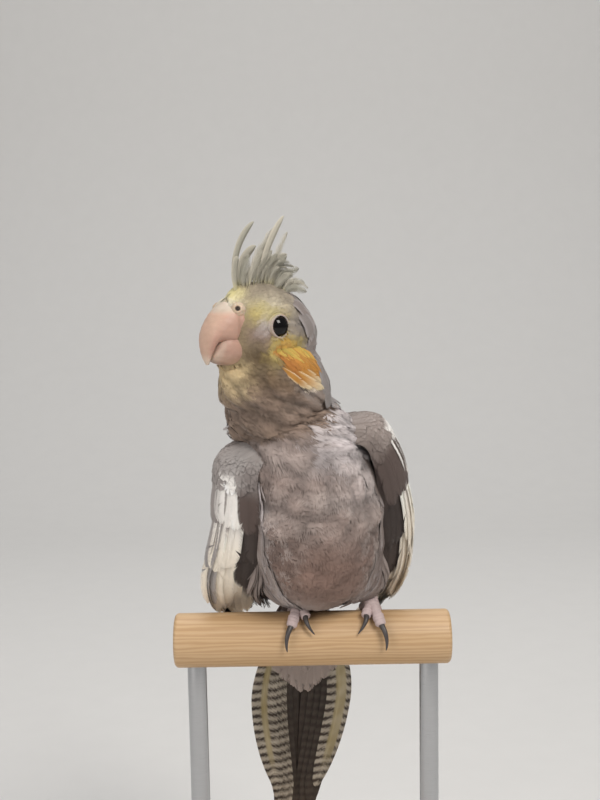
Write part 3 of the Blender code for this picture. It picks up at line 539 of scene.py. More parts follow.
class Tree:
    """The node tree of one material, with short ways to add to it."""

    def __init__(self, material: bpy.types.Material) -> None:
        """Keeps the tree and its Principled shader.

        Args:
            material: the material that the tree belongs to.
        """
        self.nodes = material.node_tree.nodes
        self.links = material.node_tree.links
        self.shader = self.nodes["Principled BSDF"]

    def node(self, kind: str, settings: dict[str, object], inputs: dict[object, object]) -> bpy.types.Node:
        """Adds a node.

        Args:
            kind: the node's type.
            settings: properties that are set first; stops gives a ramp's places and colours.
            inputs: values or links for its sockets, by name or number.

        Returns:
            The node.
        """
        made = self.nodes.new(kind)
        for name, value in settings.items():
            if name == "stops":
                self._ramp(made.color_ramp, value)
            else:
                setattr(made, name, value)
        for key, value in inputs.items():
            self.feed(made.inputs[key], value)
        return made

    def _ramp(self, ramp: bpy.types.ColorRamp, stops: list[tuple[float, Array]]) -> None:
        """Sets a ramp's stops.

        Args:
            ramp: the ramp.
            stops: a place and a colour for each stop.
        """
        while len(ramp.elements) < len(stops):
            ramp.elements.new(0.5)
        for element, (place, shade) in zip(ramp.elements, stops):
            element.position = place
            element.color = (*shade, 1.0)

    def feed(self, socket: Socket, value: object) -> None:
        """Links a socket to another, or sets its value.

        Args:
            socket: the socket that is fed.
            value: another socket, a number at one, or a plain value.
        """
        if isinstance(value, Value):
            value = value.socket
        if isinstance(value, Socket):
            self.links.new(value, socket)
        else:
            socket.default_value = value

    def value(
        self, kind: str, settings: dict[str, object], inputs: dict[object, object], output: object = 0
    ) -> Value:
        """Adds a node and returns one of its outputs as a number."""
        return Value(self, self.node(kind, settings, inputs).outputs[output])

    def place(self) -> Socket:
        """Object coordinates."""
        return self.node("ShaderNodeTexCoord", {}, {}).outputs["Object"]

    def map(self, name: str) -> Socket:
        """The coordinates of one of the piece's own maps."""
        return self.node("ShaderNodeUVMap", {"uv_map": name}, {}).outputs["UV"]

    def stretched(self, vector: Socket, *scale: float) -> Socket:
        """Coordinates scaled by axis."""
        return self.node("ShaderNodeMapping", {}, {"Vector": vector, "Scale": scale}).outputs["Vector"]

    def math(self, operation: str, number: Value) -> Value:
        """A function of one number."""
        return self.value("ShaderNodeMath", {"operation": operation}, {0: number})

    def noise(self, vector: Socket, scale: float, detail: float = 2.0) -> Value:
        """Smooth noise from 0 to 1."""
        inputs = {"Vector": vector, "Scale": scale, "Detail": detail}
        return self.value("ShaderNodeTexNoise", {}, inputs, "Fac")

    def tint(self) -> Socket:
        """The colour stored at the piece's points."""
        return self.node("ShaderNodeAttribute", {"attribute_name": "tint"}, {}).outputs["Color"]

    def shade(self, base: object, amount: Value) -> Socket:
        """Multiplies a colour by a number that varies over the surface.

        Args:
            base: the colour.
            amount: the number.

        Returns:
            The socket of the product.
        """
        grey = self.node("ShaderNodeCombineColor", {}, {0: amount, 1: amount, 2: amount}).outputs[0]
        settings = {"data_type": "RGBA", "blend_type": "MULTIPLY"}
        return self.node("ShaderNodeMix", settings, {0: 1.0, 6: base, 7: grey}).outputs[2]

    def bump(self, height: Value, strength: float, distance: float) -> None:
        """Feeds a height to the shader's normal."""
        inputs = {"Height": height, "Strength": strength, "Distance": distance}
        self.feed(self.shader.inputs["Normal"], self.node("ShaderNodeBump", {}, inputs).outputs["Normal"])

    def surface(self, **inputs: object) -> None:
        """Feeds the shader's sockets, named with underscores for spaces."""
        for name, value in inputs.items():
            self.feed(self.shader.inputs[name.replace("_", " ")], value)


@dataclass(frozen=True)
class Finish:
    """A look that is made once and shared by the pieces that wear it."""

    name: str

    def material(self) -> bpy.types.Material:
        """Makes the material on first use.

        Returns:
            The material.
        """
        found = bpy.data.materials.get(self.name)
        if found:
            return found
        made = bpy.data.materials.new(self.name)
        made.use_nodes = True
        self.dress(Tree(made))
        return made

    def dress(self, tree: Tree) -> None:
        """Adds the look's nodes to a tree."""
        raise NotImplementedError


@dataclass(frozen=True)
class Plumage(Finish):
    """Soft barbs: the stored tint, broken up at the scale of down, with a faint sheen."""

    roughness: float = 0.82
    variety: float = 0.10
    grain: float = 900.0

    def dress(self, tree: Tree) -> None:
        """Adds the look's nodes.

        Args:
            tree: the material's tree.
        """
        place = tree.place()
        fine = tree.noise(place, self.grain, 3.0)
        broad = tree.noise(place, self.grain / 9, 2.0)
        amount = (1 - self.variety) + (fine + broad) * self.variety
        tree.surface(
            Base_Color=tree.shade(tree.tint(), amount),
            Roughness=self.roughness,
            Sheen_Weight=0.18,
            Sheen_Roughness=0.5,
            Specular_IOR_Level=0.28,
        )
        tree.bump(fine, 0.18, 0.12 * MM)


@dataclass(frozen=True)
class Vane(Finish):
    """A firm feather: the stored tint, crossed by fine slanting barbs on the vane's own map."""

    roughness: float = 0.6
    barbs: float = 150.0
    slant: float = 0.12
    turn: float = 6.283

    def dress(self, tree: Tree) -> None:
        """Adds the look's nodes.

        Args:
            tree: the material's tree.
        """
        split = tree.node("ShaderNodeSeparateXYZ", {}, {"Vector": tree.map("Vane")})
        across, along = Value(tree, split.outputs[0]), Value(tree, split.outputs[1])
        side = tree.math("ABSOLUTE", across - 0.5)
        lines = tree.math("SINE", (along - side * self.slant) * self.barbs * self.turn)
        broken = tree.noise(tree.place(), 500.0, 3.0)
        amount = 0.9 + lines * 0.035 + broken * 0.14
        tree.surface(
            Base_Color=tree.shade(tree.tint(), amount),
            Roughness=self.roughness,
            Sheen_Weight=0.1,
            Specular_IOR_Level=0.35,
        )
        tree.bump(lines + broken, 0.3, 0.08 * MM)


@dataclass(frozen=True)
class Skin(Finish):
    """Bare or thinly covered skin: the stored tint with fine creases."""

    roughness: float = 0.6
    grain: float = 1400.0
    crease: float = 0.35
    subsurface: float = 0.0

    def dress(self, tree: Tree) -> None:
        """Adds the look's nodes.

        Args:
            tree: the material's tree.
        """
        place = tree.place()
        inputs = {"Vector": place, "Scale": self.grain}
        cells = tree.value("ShaderNodeTexVoronoi", {"feature": "DISTANCE_TO_EDGE"}, inputs)
        mottle = tree.noise(place, self.grain / 4, 3.0)
        tree.surface(
            Base_Color=tree.shade(tree.tint(), 0.84 + mottle * 0.32),
            Roughness=self.roughness,
            Subsurface_Weight=self.subsurface,
            Subsurface_Scale=1.2 * MM,
            Specular_IOR_Level=0.4,
        )
        tree.bump(cells + mottle * 0.6, self.crease, 0.2 * MM)


@dataclass(frozen=True)
class Horn(Finish):
    """Smooth horn of bill or claw: the stored tint, faint growth lines and a soft gloss."""

    roughness: float = 0.44
    mottle: float = 0.28
    coat: float = 0.06
    subsurface: float = 0.06

    def dress(self, tree: Tree) -> None:
        """Adds the look's nodes.

        Args:
            tree: the material's tree.
        """
        place = tree.place()
        cloud = tree.noise(place, 260.0, 3.0)
        flakes = tree.noise(tree.stretched(place, 1.0, 1.0, 2.5), 900.0, 4.0)
        half = self.mottle / 2
        tree.surface(
            Base_Color=tree.shade(tree.tint(), (1 - half) + (cloud - 0.5) * self.mottle + flakes * half),
            Roughness=self.roughness + flakes * 0.16,
            Coat_Weight=self.coat,
            Coat_Roughness=0.3,
            Subsurface_Weight=self.subsurface,
            Subsurface_Scale=1.5 * MM,
        )
        tree.bump(flakes + cloud * 0.4, 0.2, 0.14 * MM)


@dataclass(frozen=True)
class WetEye(Finish):
    """A dark, wet eye: the stored tint under a clear coat."""

    def dress(self, tree: Tree) -> None:
        """Adds the look's nodes.

        Args:
            tree: the material's tree.
        """
        fleck = tree.noise(tree.place(), 1800.0, 2.0)
        tree.surface(
            Base_Color=tree.shade(tree.tint(), 0.7 + fleck * 0.6),
            Roughness=0.1,
            Specular_IOR_Level=0.3,
        )


@dataclass(frozen=True)
class Wood(Finish):
    """Turned pale wood whose grain runs along one axis."""

    axis: Triple = (6.0, 60.0, 60.0)

    def dress(self, tree: Tree) -> None:
        """Adds the look's nodes.

        Args:
            tree: the material's tree.
        """
        place = tree.stretched(tree.place(), *self.axis)
        rings = tree.value(
            "ShaderNodeTexWave",
            {"bands_direction": "Z"},
            {"Vector": place, "Scale": 4.0, "Distortion": 7.0, "Detail": 4.0, "Detail Scale": 1.6},
            "Fac",
        )
        fibre = tree.noise(tree.stretched(place, 1.0, 6.0, 6.0), 6.0, 4.0)
        stops = [(0.0, colour("AF8D66")), (0.45, colour("C09E76")), (1.0, colour("CBAE88"))]
        grain = tree.node("ShaderNodeValToRGB", {"stops": stops}, {"Fac": rings * 0.55 + fibre * 0.45})
        tree.surface(
            Base_Color=grain.outputs["Color"],
            Roughness=0.42 + fibre * 0.16,
            Coat_Weight=0.12,
            Coat_Roughness=0.35,
        )
        tree.bump(fibre, 0.15, 0.2 * MM)


@dataclass(frozen=True)
class Steel(Finish):
    """Satin steel rod with fine turning lines."""

    def dress(self, tree: Tree) -> None:
        """Adds the look's nodes.

        Args:
            tree: the material's tree.
        """
        lines = tree.noise(tree.stretched(tree.place(), 20.0, 20.0, 900.0), 12.0, 2.0)
        tree.surface(
            Base_Color=tree.shade((*colour("B9BABC"), 1.0), 0.9 + lines * 0.2),
            Metallic=1.0,
            Roughness=0.24 + lines * 0.14,
        )
        tree.bump(lines, 0.08, 0.05 * MM)


@dataclass(frozen=True)
class Studio(Finish):
    """Plain pale paper for floor and backdrop."""

    def dress(self, tree: Tree) -> None:
        """Adds the look's nodes."""
        fibre = tree.noise(tree.place(), 60.0, 3.0)
        tree.surface(Base_Color=tree.shade((*colour("D9D8D6"), 1.0), 0.98 + fibre * 0.04), Roughness=0.9)


SOFT = Plumage("soft_plumage")
FIRM = Vane("firm_vanes")
UNDERSKIN = Skin("thin_skin")


# ---------------------------------------------------------------- surfaces that plumage grows on


@dataclass
class Surface:
    """A grid of points closed round, with the normal and the two directions along it at each.

    Rows run against the lie of the coat, from the tail end to the head end. Place a goes from 0
    at the first row to 1 at the last, and b once round; span gives how many metres one whole
    unit of each would be at that place.
    """

    points: Array
    normals: Array = field(init=False)
    span: Array = field(init=False)

    def __post_init__(self) -> None:
        """Works out directions from differences between neighbouring points."""
        rows, columns = self.points.shape[:2]
        ahead = np.gradient(self.points, axis=0) * (rows - 1)
        across = (np.roll(self.points, -1, 1) - np.roll(self.points, 1, 1)) * columns / 2
        lengths = np.stack([np.linalg.norm(ahead, axis=-1), np.linalg.norm(across, axis=-1)], -1)
        self.span = np.maximum(lengths, 1e-4)
        self.normals = unit(np.cross(across, ahead))

    def value(self, grid: Array, a: Array, b: Array) -> Array:
        """Values between a grid's rows and columns, weighted by nearness.

        Args:
            grid: a row of values for each point of the surface.
            a: places from the first row to the last.
            b: places round.

        Returns:
            The row of values at each place.
        """
        rows, columns = grid.shape[:2]
        i, u = station(a, rows)
        y = np.mod(b, 1.0) * columns
        j = np.minimum(y.astype(int), columns - 1)
        k = (j + 1) % columns
        u, v = u[..., None], (y - j)[..., None]
        low = grid[i, j] * (1 - v) + grid[i, k] * v
        high = grid[i + 1, j] * (1 - v) + grid[i + 1, k] * v
        return low * (1 - u) + high * u

    def place(self, a: Array, b: Array) -> Array:
        """The surface's points at places a, b."""
        return self.value(self.points, a, b)

    def lift(self, a: Array, b: Array, height: Array) -> Array:
        """Points over the surface at places a, b, at a height along its normal."""
        values = self.value(np.concatenate([self.points, self.normals], -1), a, b)
        return values[..., :3] + unit(values[..., 3:]) * np.asarray(height)[..., None]

    def scatter(self, spacing: Measure, draw: Draw) -> tuple[Array, Array]:
        """Places spread over the surface, one for each square of the wanted spacing.

        Args:
            spacing: distance between neighbours for points of the surface.
            draw: source of chance.

        Returns:
            The places' a and b.
        """
        area = (self.span[..., 0] * self.span[..., 1]).ravel()
        want = area / spacing(self.points.reshape(-1, 3)) ** 2
        share = np.cumsum(want) / want.sum()
        count = int(want.mean())
        rows, columns = self.points.shape[:2]
        even = (np.arange(count) + draw.uniform(0, 1, count)) / count
        cell = np.minimum(np.searchsorted(share, even), len(share) - 1)
        i, j = np.divmod(cell, columns)
        a = (i + draw.uniform(-0.5, 0.5, count)) / (rows - 1)
        b = (j + draw.uniform(-0.5, 0.5, count)) / columns
        return np.clip(a, 0, 1), b


# ---------------------------------------------------------------- feathers


@dataclass(frozen=True)
class Barbs:
    """How a vane is divided: barbs a side, each a strip from the shaft out to the edge.

    A barb starts on the shaft at share t of the length and runs outwards and towards the tip:
    along = t + lean * q^1.5 and out = q for q from 0 to 1. Its strip is cover times as wide as
    the spacing and narrows to fray of that at its end.
    """

    count: int
    stations: int = 3
    lean: float = 0.16
    cover: float = 1.7
    fray: float = 0.35
    start: float = 0.04
    shaft: float = 0.05

    def template(self) -> tuple[Array, Array, Array, Array]:
        """Lays out one vane whose length and half width are 1.

        Returns:
            Along, out and lift of its points, and its faces.
        """
        root = np.linspace(self.start, 0.985, self.count)
        q = np.linspace(0, 1, self.stations)
        pitch = (root[1] - root[0]) * self.cover / 2
        width = pitch * (1 - (1 - self.fray) * q**1.5)
        side = np.array([-1.0, 1.0])
        shape = (2, self.count, self.stations, 2)
        ahead = root[None, :, None, None] + self.lean * q[None, None, :, None] ** 1.5
        along = np.broadcast_to(ahead + side * width[:, None], shape)
        out = np.broadcast_to(side[:, None, None, None] * q[None, None, :, None], shape)
        lift = np.broadcast_to(0.5 * (np.arange(self.count) % 2)[None, :, None, None], shape)
        first = np.arange(2 * self.count)[:, None] * self.stations * 2
        strip = np.arange(self.stations - 1)[None] * 2
        base = (first + strip).ravel()
        faces = np.stack([base, base + 1, base + 3, base + 2], -1)
        if self.shaft:
            rows = 9
            t = np.linspace(0.0, 0.97, rows)
            w = self.shaft * (1 - 0.75 * t)
            start = along.size
            along = np.concatenate([along.ravel(), np.repeat(t, 3)])
            out = np.concatenate([out.ravel(), (w[:, None] * np.array([-1.0, 0.0, 1.0])).ravel()])
            lift = np.concatenate([lift.ravel(), np.tile([0.4, 2.2, 0.4], rows)])
            faces = np.concatenate([faces, start + grid_faces(rows, 3, False)])
        along, out = along.ravel(), out.ravel()
        return along, out, lift.ravel(), face_up(along, out, faces)


def vane_width(t: Array, blunt: float, base: float = 0.35) -> Array:
    """Half width along a vane.

    Args:
        t: share along the vane.
        blunt: where its rounded end begins.
        base: width at the root, from which it opens.

    Returns:
        Shares of the full half width.
    """
    opening = base + (1 - base) * ease(t, 0.0, 0.4)
    past = np.clip((t - blunt) / (1.0 - blunt), 0, 1)
    return opening * np.sqrt(np.clip(1 - past**2.2, 0.0, 1))


@dataclass
class Plumes:
    """Many vanes laid along given middle lines, made as one mesh.

    Each vane has stations on its middle line with a direction across and one outwards. A point
    at share t along and w out lies at middle(t) + across(t) * half * width(t) * w + outward *
    (lift + camber * (1 - w^2) + tilt * w).
    """

    middle: Array
    across: Array
    outward: Array
    half: Array
    blunt: float = 0.72
    base: float = 0.35
    camber: float = 0.5 * MM
    tilt: float = 0.3 * MM
    lift: float = 0.05 * MM
    split: float = 0.02
    smooth: float = 0.4
    seed: int = 1

    def build(self, name: str, barbs: Barbs, tint: Tint) -> Piece:
        """Makes the mesh.

        Args:
            name: name of the piece.
            barbs: how each vane is divided.
            tint: colour for vane number, share along and share out.

        Returns:
            The piece, with its tint, its Vane map and its bake map.
        """
        along, out, lift, faces = barbs.template()
        count, stations = self.middle.shape[:2]
        draw = np.random.default_rng(self.seed)
        phase = draw.uniform(0, 1, (count, 1))
        teeth = draw.uniform(2.5, 5.0, (count, 1))
        saw = np.mod(along * teeth + phase, 1.0) - 0.5
        t = np.clip(along - self.split * saw * np.abs(out) * 2, 0.0, 1.0)
        w = np.broadcast_to(out, t.shape)
        at, part = station(t, stations)
        part = part[..., None]
        row = np.arange(count)[:, None]
        middle, across, outward = (
            grid[row, at] * (1 - part) + grid[row, at + 1] * part
            for grid in (self.middle, self.across, self.outward)
        )
        half = self.half.reshape(count, -1)[:, :1] * vane_width(t, self.blunt, self.base)
        height = self.lift * lift + self.camber * (1 - w**2) + self.tilt * w
        points = middle + across * (half * w)[..., None] + outward * height[..., None]
        ahead = self.middle[:, 0] - self.middle[:, -1]
        facing = (np.cross(self.across[:, 0], ahead) * self.outward.mean(1)).sum()
        faces = faces if facing > 0 else faces[:, ::-1]
        index = faces[None] + (np.arange(count) * len(along))[:, None, None]
        piece = make_mesh(name, points, index.reshape(-1, 4))
        calm(piece, unit(outward + 0.5 * across * w[..., None]), self.smooth)
        number = np.broadcast_to(row, t.shape)
        paint(piece, tint(number, t, w))
        columns = math.ceil(math.sqrt(count))
        corner = np.stack([number % columns, number // columns], -1) / columns
        flat = corner + np.stack([0.5 + 0.44 * w, 0.06 + 0.88 * t], -1) / columns
        unwrap(piece, flat)
        unwrap(piece, np.stack([0.5 + 0.5 * w, t], -1), "Vane")
        return piece


# ---------------------------------------------------------------- markings


class Shade:
    """Colours of plumage, horn and skin in plain daylight; the ones named for shade and highlight are painted
    shade and painted highlight.
    """

    BODY = colour("8D7D76")
    BODY_PALE = colour("A89B95")
    BODY_DARK = colour("6A5A54")
    COLLAR = colour("C6BEBE")
    BELLY = colour("84695D")
    NAPE = colour("918A87")
    NECK = colour("826E5E")
    THROAT = colour("CDB78B")
    CHEEK_IN_SHADE = colour("5E4C37")
    FACE = colour("968464")
    FACE_YELLOW = colour("E9DD92")
    FOREHEAD = colour("DAD2C6")
    CROWN = colour("A09482")
    MAUVE = colour("8E786E")
    ORANGE = colour("C68C3E")
    ORANGE_DEEP = colour("A86A32")
    EAR_YELLOW = colour("CDB65C")
    CREAM = colour("F8EEDD")
    WHITE = colour("FFFBF6")
    LOBE = colour("5C4E49")
    SLATE = colour("443A36")
    DARK = colour("312723")
    TAUPE = colour("948881")
    OLIVE = colour("A6986C")
    ASH = colour("A5A09E")
    CREST = colour("A9A698")
    HORN = colour("CBA794")
    HORN_ROSE = colour("BC9382")
    HORN_RIDGE_HIGHLIGHT = colour("D9B9A2")
    HORN_TIP = colour("E0D6C4")
    HORN_ROOT = colour("CDBFAE")
    HORN_MOUTH_SHADE = colour("A2705E")
    HORN_CHIN_SHADE = colour("6E4A3E")
    PUPIL = colour("070505")
    IRIS = colour("140C08")
    LID = colour("B9ABA3")
    LID_OUTSIDE = colour("9C8E80")
    LID_EDGE = colour("5E4A44")
    CERE = colour("BFAA92")
    CERE_PALE = colour("CDBAA4")
    CERE_PINK = colour("CFA78E")
    NOSTRIL_SHADE = colour("2A1C16")
    TOE = colour("5F4A43")
    TOE_PALE = colour("7C635A")
    TOE_CREASE_SHADE = colour("3A2A26")
    TOE_PAD = colour("B5948A")
    CLAW_ROOT = colour("6F5850")
    CLAW = colour("382C28")
    CLAW_UNDER = colour("4A3D39")


@dataclass(frozen=True)
class Markings:
    """Where the coat's colours lie, worked out from a point's place in the head or on the trunk.

    Places are in millimetres: forward, left and up of the head, or left, back and up of the trunk.
    A spot gives its centre f and u, half width, half height, slant, amount and colour.
    """

    pose: Pose
    spots: tuple[tuple[float, float, float, float, float, float, Array], ...] = (
        (16.2, 5.6, 3.5, 3.8, 0.0, 0.95, Shade.FOREHEAD),
        (15.0, 10.4, 3.0, 4.2, 0.0, 0.95, Shade.FACE_YELLOW),
        (7.6, 4.6, 7.0, 3.6, 0.0, 0.5, Shade.FACE_YELLOW),
        (9.6, 3.2, 3.4, 2.0, 0.0, 0.35, Shade.EAR_YELLOW),
        (4.6, 8.0, 4.0, 2.2, 0.0, 0.25, Shade.CREAM),
        (6.8, -2.6, 4.6, 3.2, 0.0, 0.85, Shade.MAUVE),
        (6.5, 0.4, 1.7, 3.2, 0.0, 0.65, Shade.COLLAR),
        # The two cheek spots paint the lower face darker than its own colour: painted shade.
        (4.0, -9.6, 5.6, 4.4, 0.0, 0.9, Shade.CHEEK_IN_SHADE),
        (0.5, -15.5, 6.0, 3.6, -0.4, 0.7, Shade.CHEEK_IN_SHADE),
        (11.0, -13.5, 2.6, 1.6, 0.0, 0.8, Shade.THROAT),
        (1.6, -6.0, 1.9, 4.6, 0.0, 0.75, Shade.EAR_YELLOW),
        (-5.5, -1.2, 5.5, 1.8, 0.0, 0.7, Shade.EAR_YELLOW),
        (-12.5, 0.0, 4.0, 6.0, 0.0, 0.8, Shade.ASH),
    )

    def trunk(self, points: Array) -> Array:
        """Colours of trunk and neck, with painted light on the front of the lower neck and the upper breast
        towards the bird's left.

        Args:
            points: places in the row frame.

        Returns:
            A colour for each.
        """
        x, y, z = self.pose.level(points)
        belly = ease(-y, 2, 14) * ease(-z, -42, -20)
        streak = np.clip(np.sin(x * 1.5 + 1.2 * ripple(points, 20 * MM, 12)) * 1.4, -1, 1)
        flank = ease(np.abs(x), 8, 13) * ease(-z, -44, -30)
        edge = 61.0 + 6.0 * ease(x, -6, 0) + 0.25 * np.clip(x, 0, 12) + 1.2 * ripple(points, 7 * MM, 13)
        # collar and breast: paler colour on the front of the lower neck and on the upper breast towards the
        # bird's left, painted light where light from above on that side falls.
        collar = ease(edge - z, -1.5, 1.5) * ease(z, 49, 58) * ease(x, -11, -5) * ease(-y, -2, 4)
        breast = ease(z, 36, 46) * ease(x, -2, 10) * ease(-y, 0, 10)
        aside = ease(-x, 15, 21) * ease(-y, -4, 3) * ease(-z, -46, -38) * ease(z, 4, 12)
        back = ease(y, 0, 12)
        return layers(
            blend(Shade.BODY, Shade.BODY_PALE, 0.4 + 0.4 * ripple(points, 12 * MM, 11)),
            (Shade.BELLY, 0.9 * belly),
            (Shade.BODY_DARK, 0.45 * flank * ease(streak, 0.1, 0.9)),
            (Shade.BODY_PALE, 0.6 * flank * ease(-streak, 0.1, 0.9)),
            (Shade.COLLAR, 0.9 * collar),
            (Shade.COLLAR, 0.35 * breast),
            (Shade.COLLAR, 0.55 * aside),
            (Shade.BODY, 0.75 * back),
            (Shade.NECK, 0.85 * ease(z - edge, -1.5, 2.5) * (1 - back)),
        )

    def head(self, points: Array) -> Array:
        """Colours of the head, alike on both sides, with painted shade on the lower cheeks and the lower ear
        patch.

        A spot's share falls off round its centre as exp(-r^2), with r the distance in a slanted
        ellipse; the ear patch and its pale tongue are ellipses with a firm edge.

        Args:
            points: places in the row frame.

        Returns:
            A colour for each.
        """
        f, l, u = self.pose.in_head(points)
        f = f + 0.7 * ripple(points, 4 * MM, 21)
        u = u + 0.7 * ripple(points, 4 * MM, 22)
        side = ease(np.abs(l), 4.5, 8)
        nape = 0.25 + 0.2 * ripple(points, 6 * MM, 23) + 0.7 * ease(f, -11, -2) * ease(-u, 6, 14)
        throat = ease(f, 1, 7) * ease(-u, 9, 13) * (1 - 0.6 * ease(l, 5, 11))
        shade = layers(
            blend(Shade.NAPE, Shade.NECK, nape),
            (Shade.FACE, 0.9 * ease(f + 0.25 * u, -3, 4) * ease(u, -19, -12)),
            (Shade.CROWN, 0.85 * ease(u, 4.5, 8.5) * ease(f, -12, 0)),
            (Shade.THROAT, 0.9 * throat),
        )
        for place_f, place_u, wide, high, slant, amount, tint in self.spots:
            slid = f - place_f - slant * (u - place_u)
            away = (slid / wide) ** 2 + ((u - place_u) / high) ** 2
            shade = blend(shade, tint, amount * np.exp(-away) * (side if place_f < 12.5 else 1.0))
        slid = f + 5.0 - 0.45 * (u + 6.4)
        ear = ease(-((slid / 5.6) ** 2) - ((u + 6.4) / 4.9) ** 2, -1.3, -0.75) * side
        fleck = ease(ripple(points * (1, 1, 2.2), 2.6 * MM, 24), -0.2, 0.6)
        # deep: a deeper orange on the lower part of the ear patch, painted shade, with dark streaks of its
        # own from fleck.
        deep = 0.45 * ease(-u, 6, 11) * ease(f, -9, -1) + 0.3 * fleck
        gold = blend(Shade.ORANGE, Shade.EAR_YELLOW, 0.75 * ease(u, -6, -2) + 0.4 * ease(-f, 8, 11))
        run, off = 0.9 * (-f - 5.0) + 0.44 * (-u - 12.2), 0.9 * (u + 12.2) - 0.44 * (f + 5.0)
        tongue = ease(-((run / 6.2) ** 2) - (off / 2.2) ** 2, -1.3, -0.75) * side
        # The tongue starts deeper orange where the ear patch overlaps it: painted shade.
        pale = blend(Shade.ORANGE_DEEP, Shade.ORANGE, ease(run, -5, 0))
        pale = blend(pale, Shade.CREAM, 0.85 * ease(run, 2, 5.5))
        return layers(shade, (blend(gold, Shade.ORANGE_DEEP, deep), ear), (pale, tongue))

    def coat(self, points: Array) -> Array:
        """Colours of the whole coat: the head's above the neck, the trunk's below."""
        f, _, u = self.pose.in_head(points)
        return blend(self.trunk(points), self.head(points), ease(u + 0.25 * f, -26, -15))


# ---------------------------------------------------------------- trunk, neck and head


def soften(grid: Array, down: float, round_way: float) -> Array:
    """A grid blurred by a bell-shaped average.

    Args:
        grid: the values.
        down: steps of blur from row to row.
        round_way: steps of blur round the columns, whose last joins the first.

    Returns:
        The blurred grid.
    """
    result = grid
    for axis, sigma in ((0, down), (1, round_way)):
        reach = int(3 * sigma) + 1
        weights = np.exp(-0.5 * (np.arange(-reach, reach + 1) / sigma) ** 2)
        weights /= weights.sum()
        wide = [(0, 0)] * grid.ndim
        wide[axis] = (reach, reach)
        padded = np.pad(result, wide, mode="edge" if axis == 0 else "wrap")
        size = grid.shape[axis]
        result = sum(w * np.take(padded, np.arange(k, k + size), axis) for k, w in enumerate(weights))
    return result


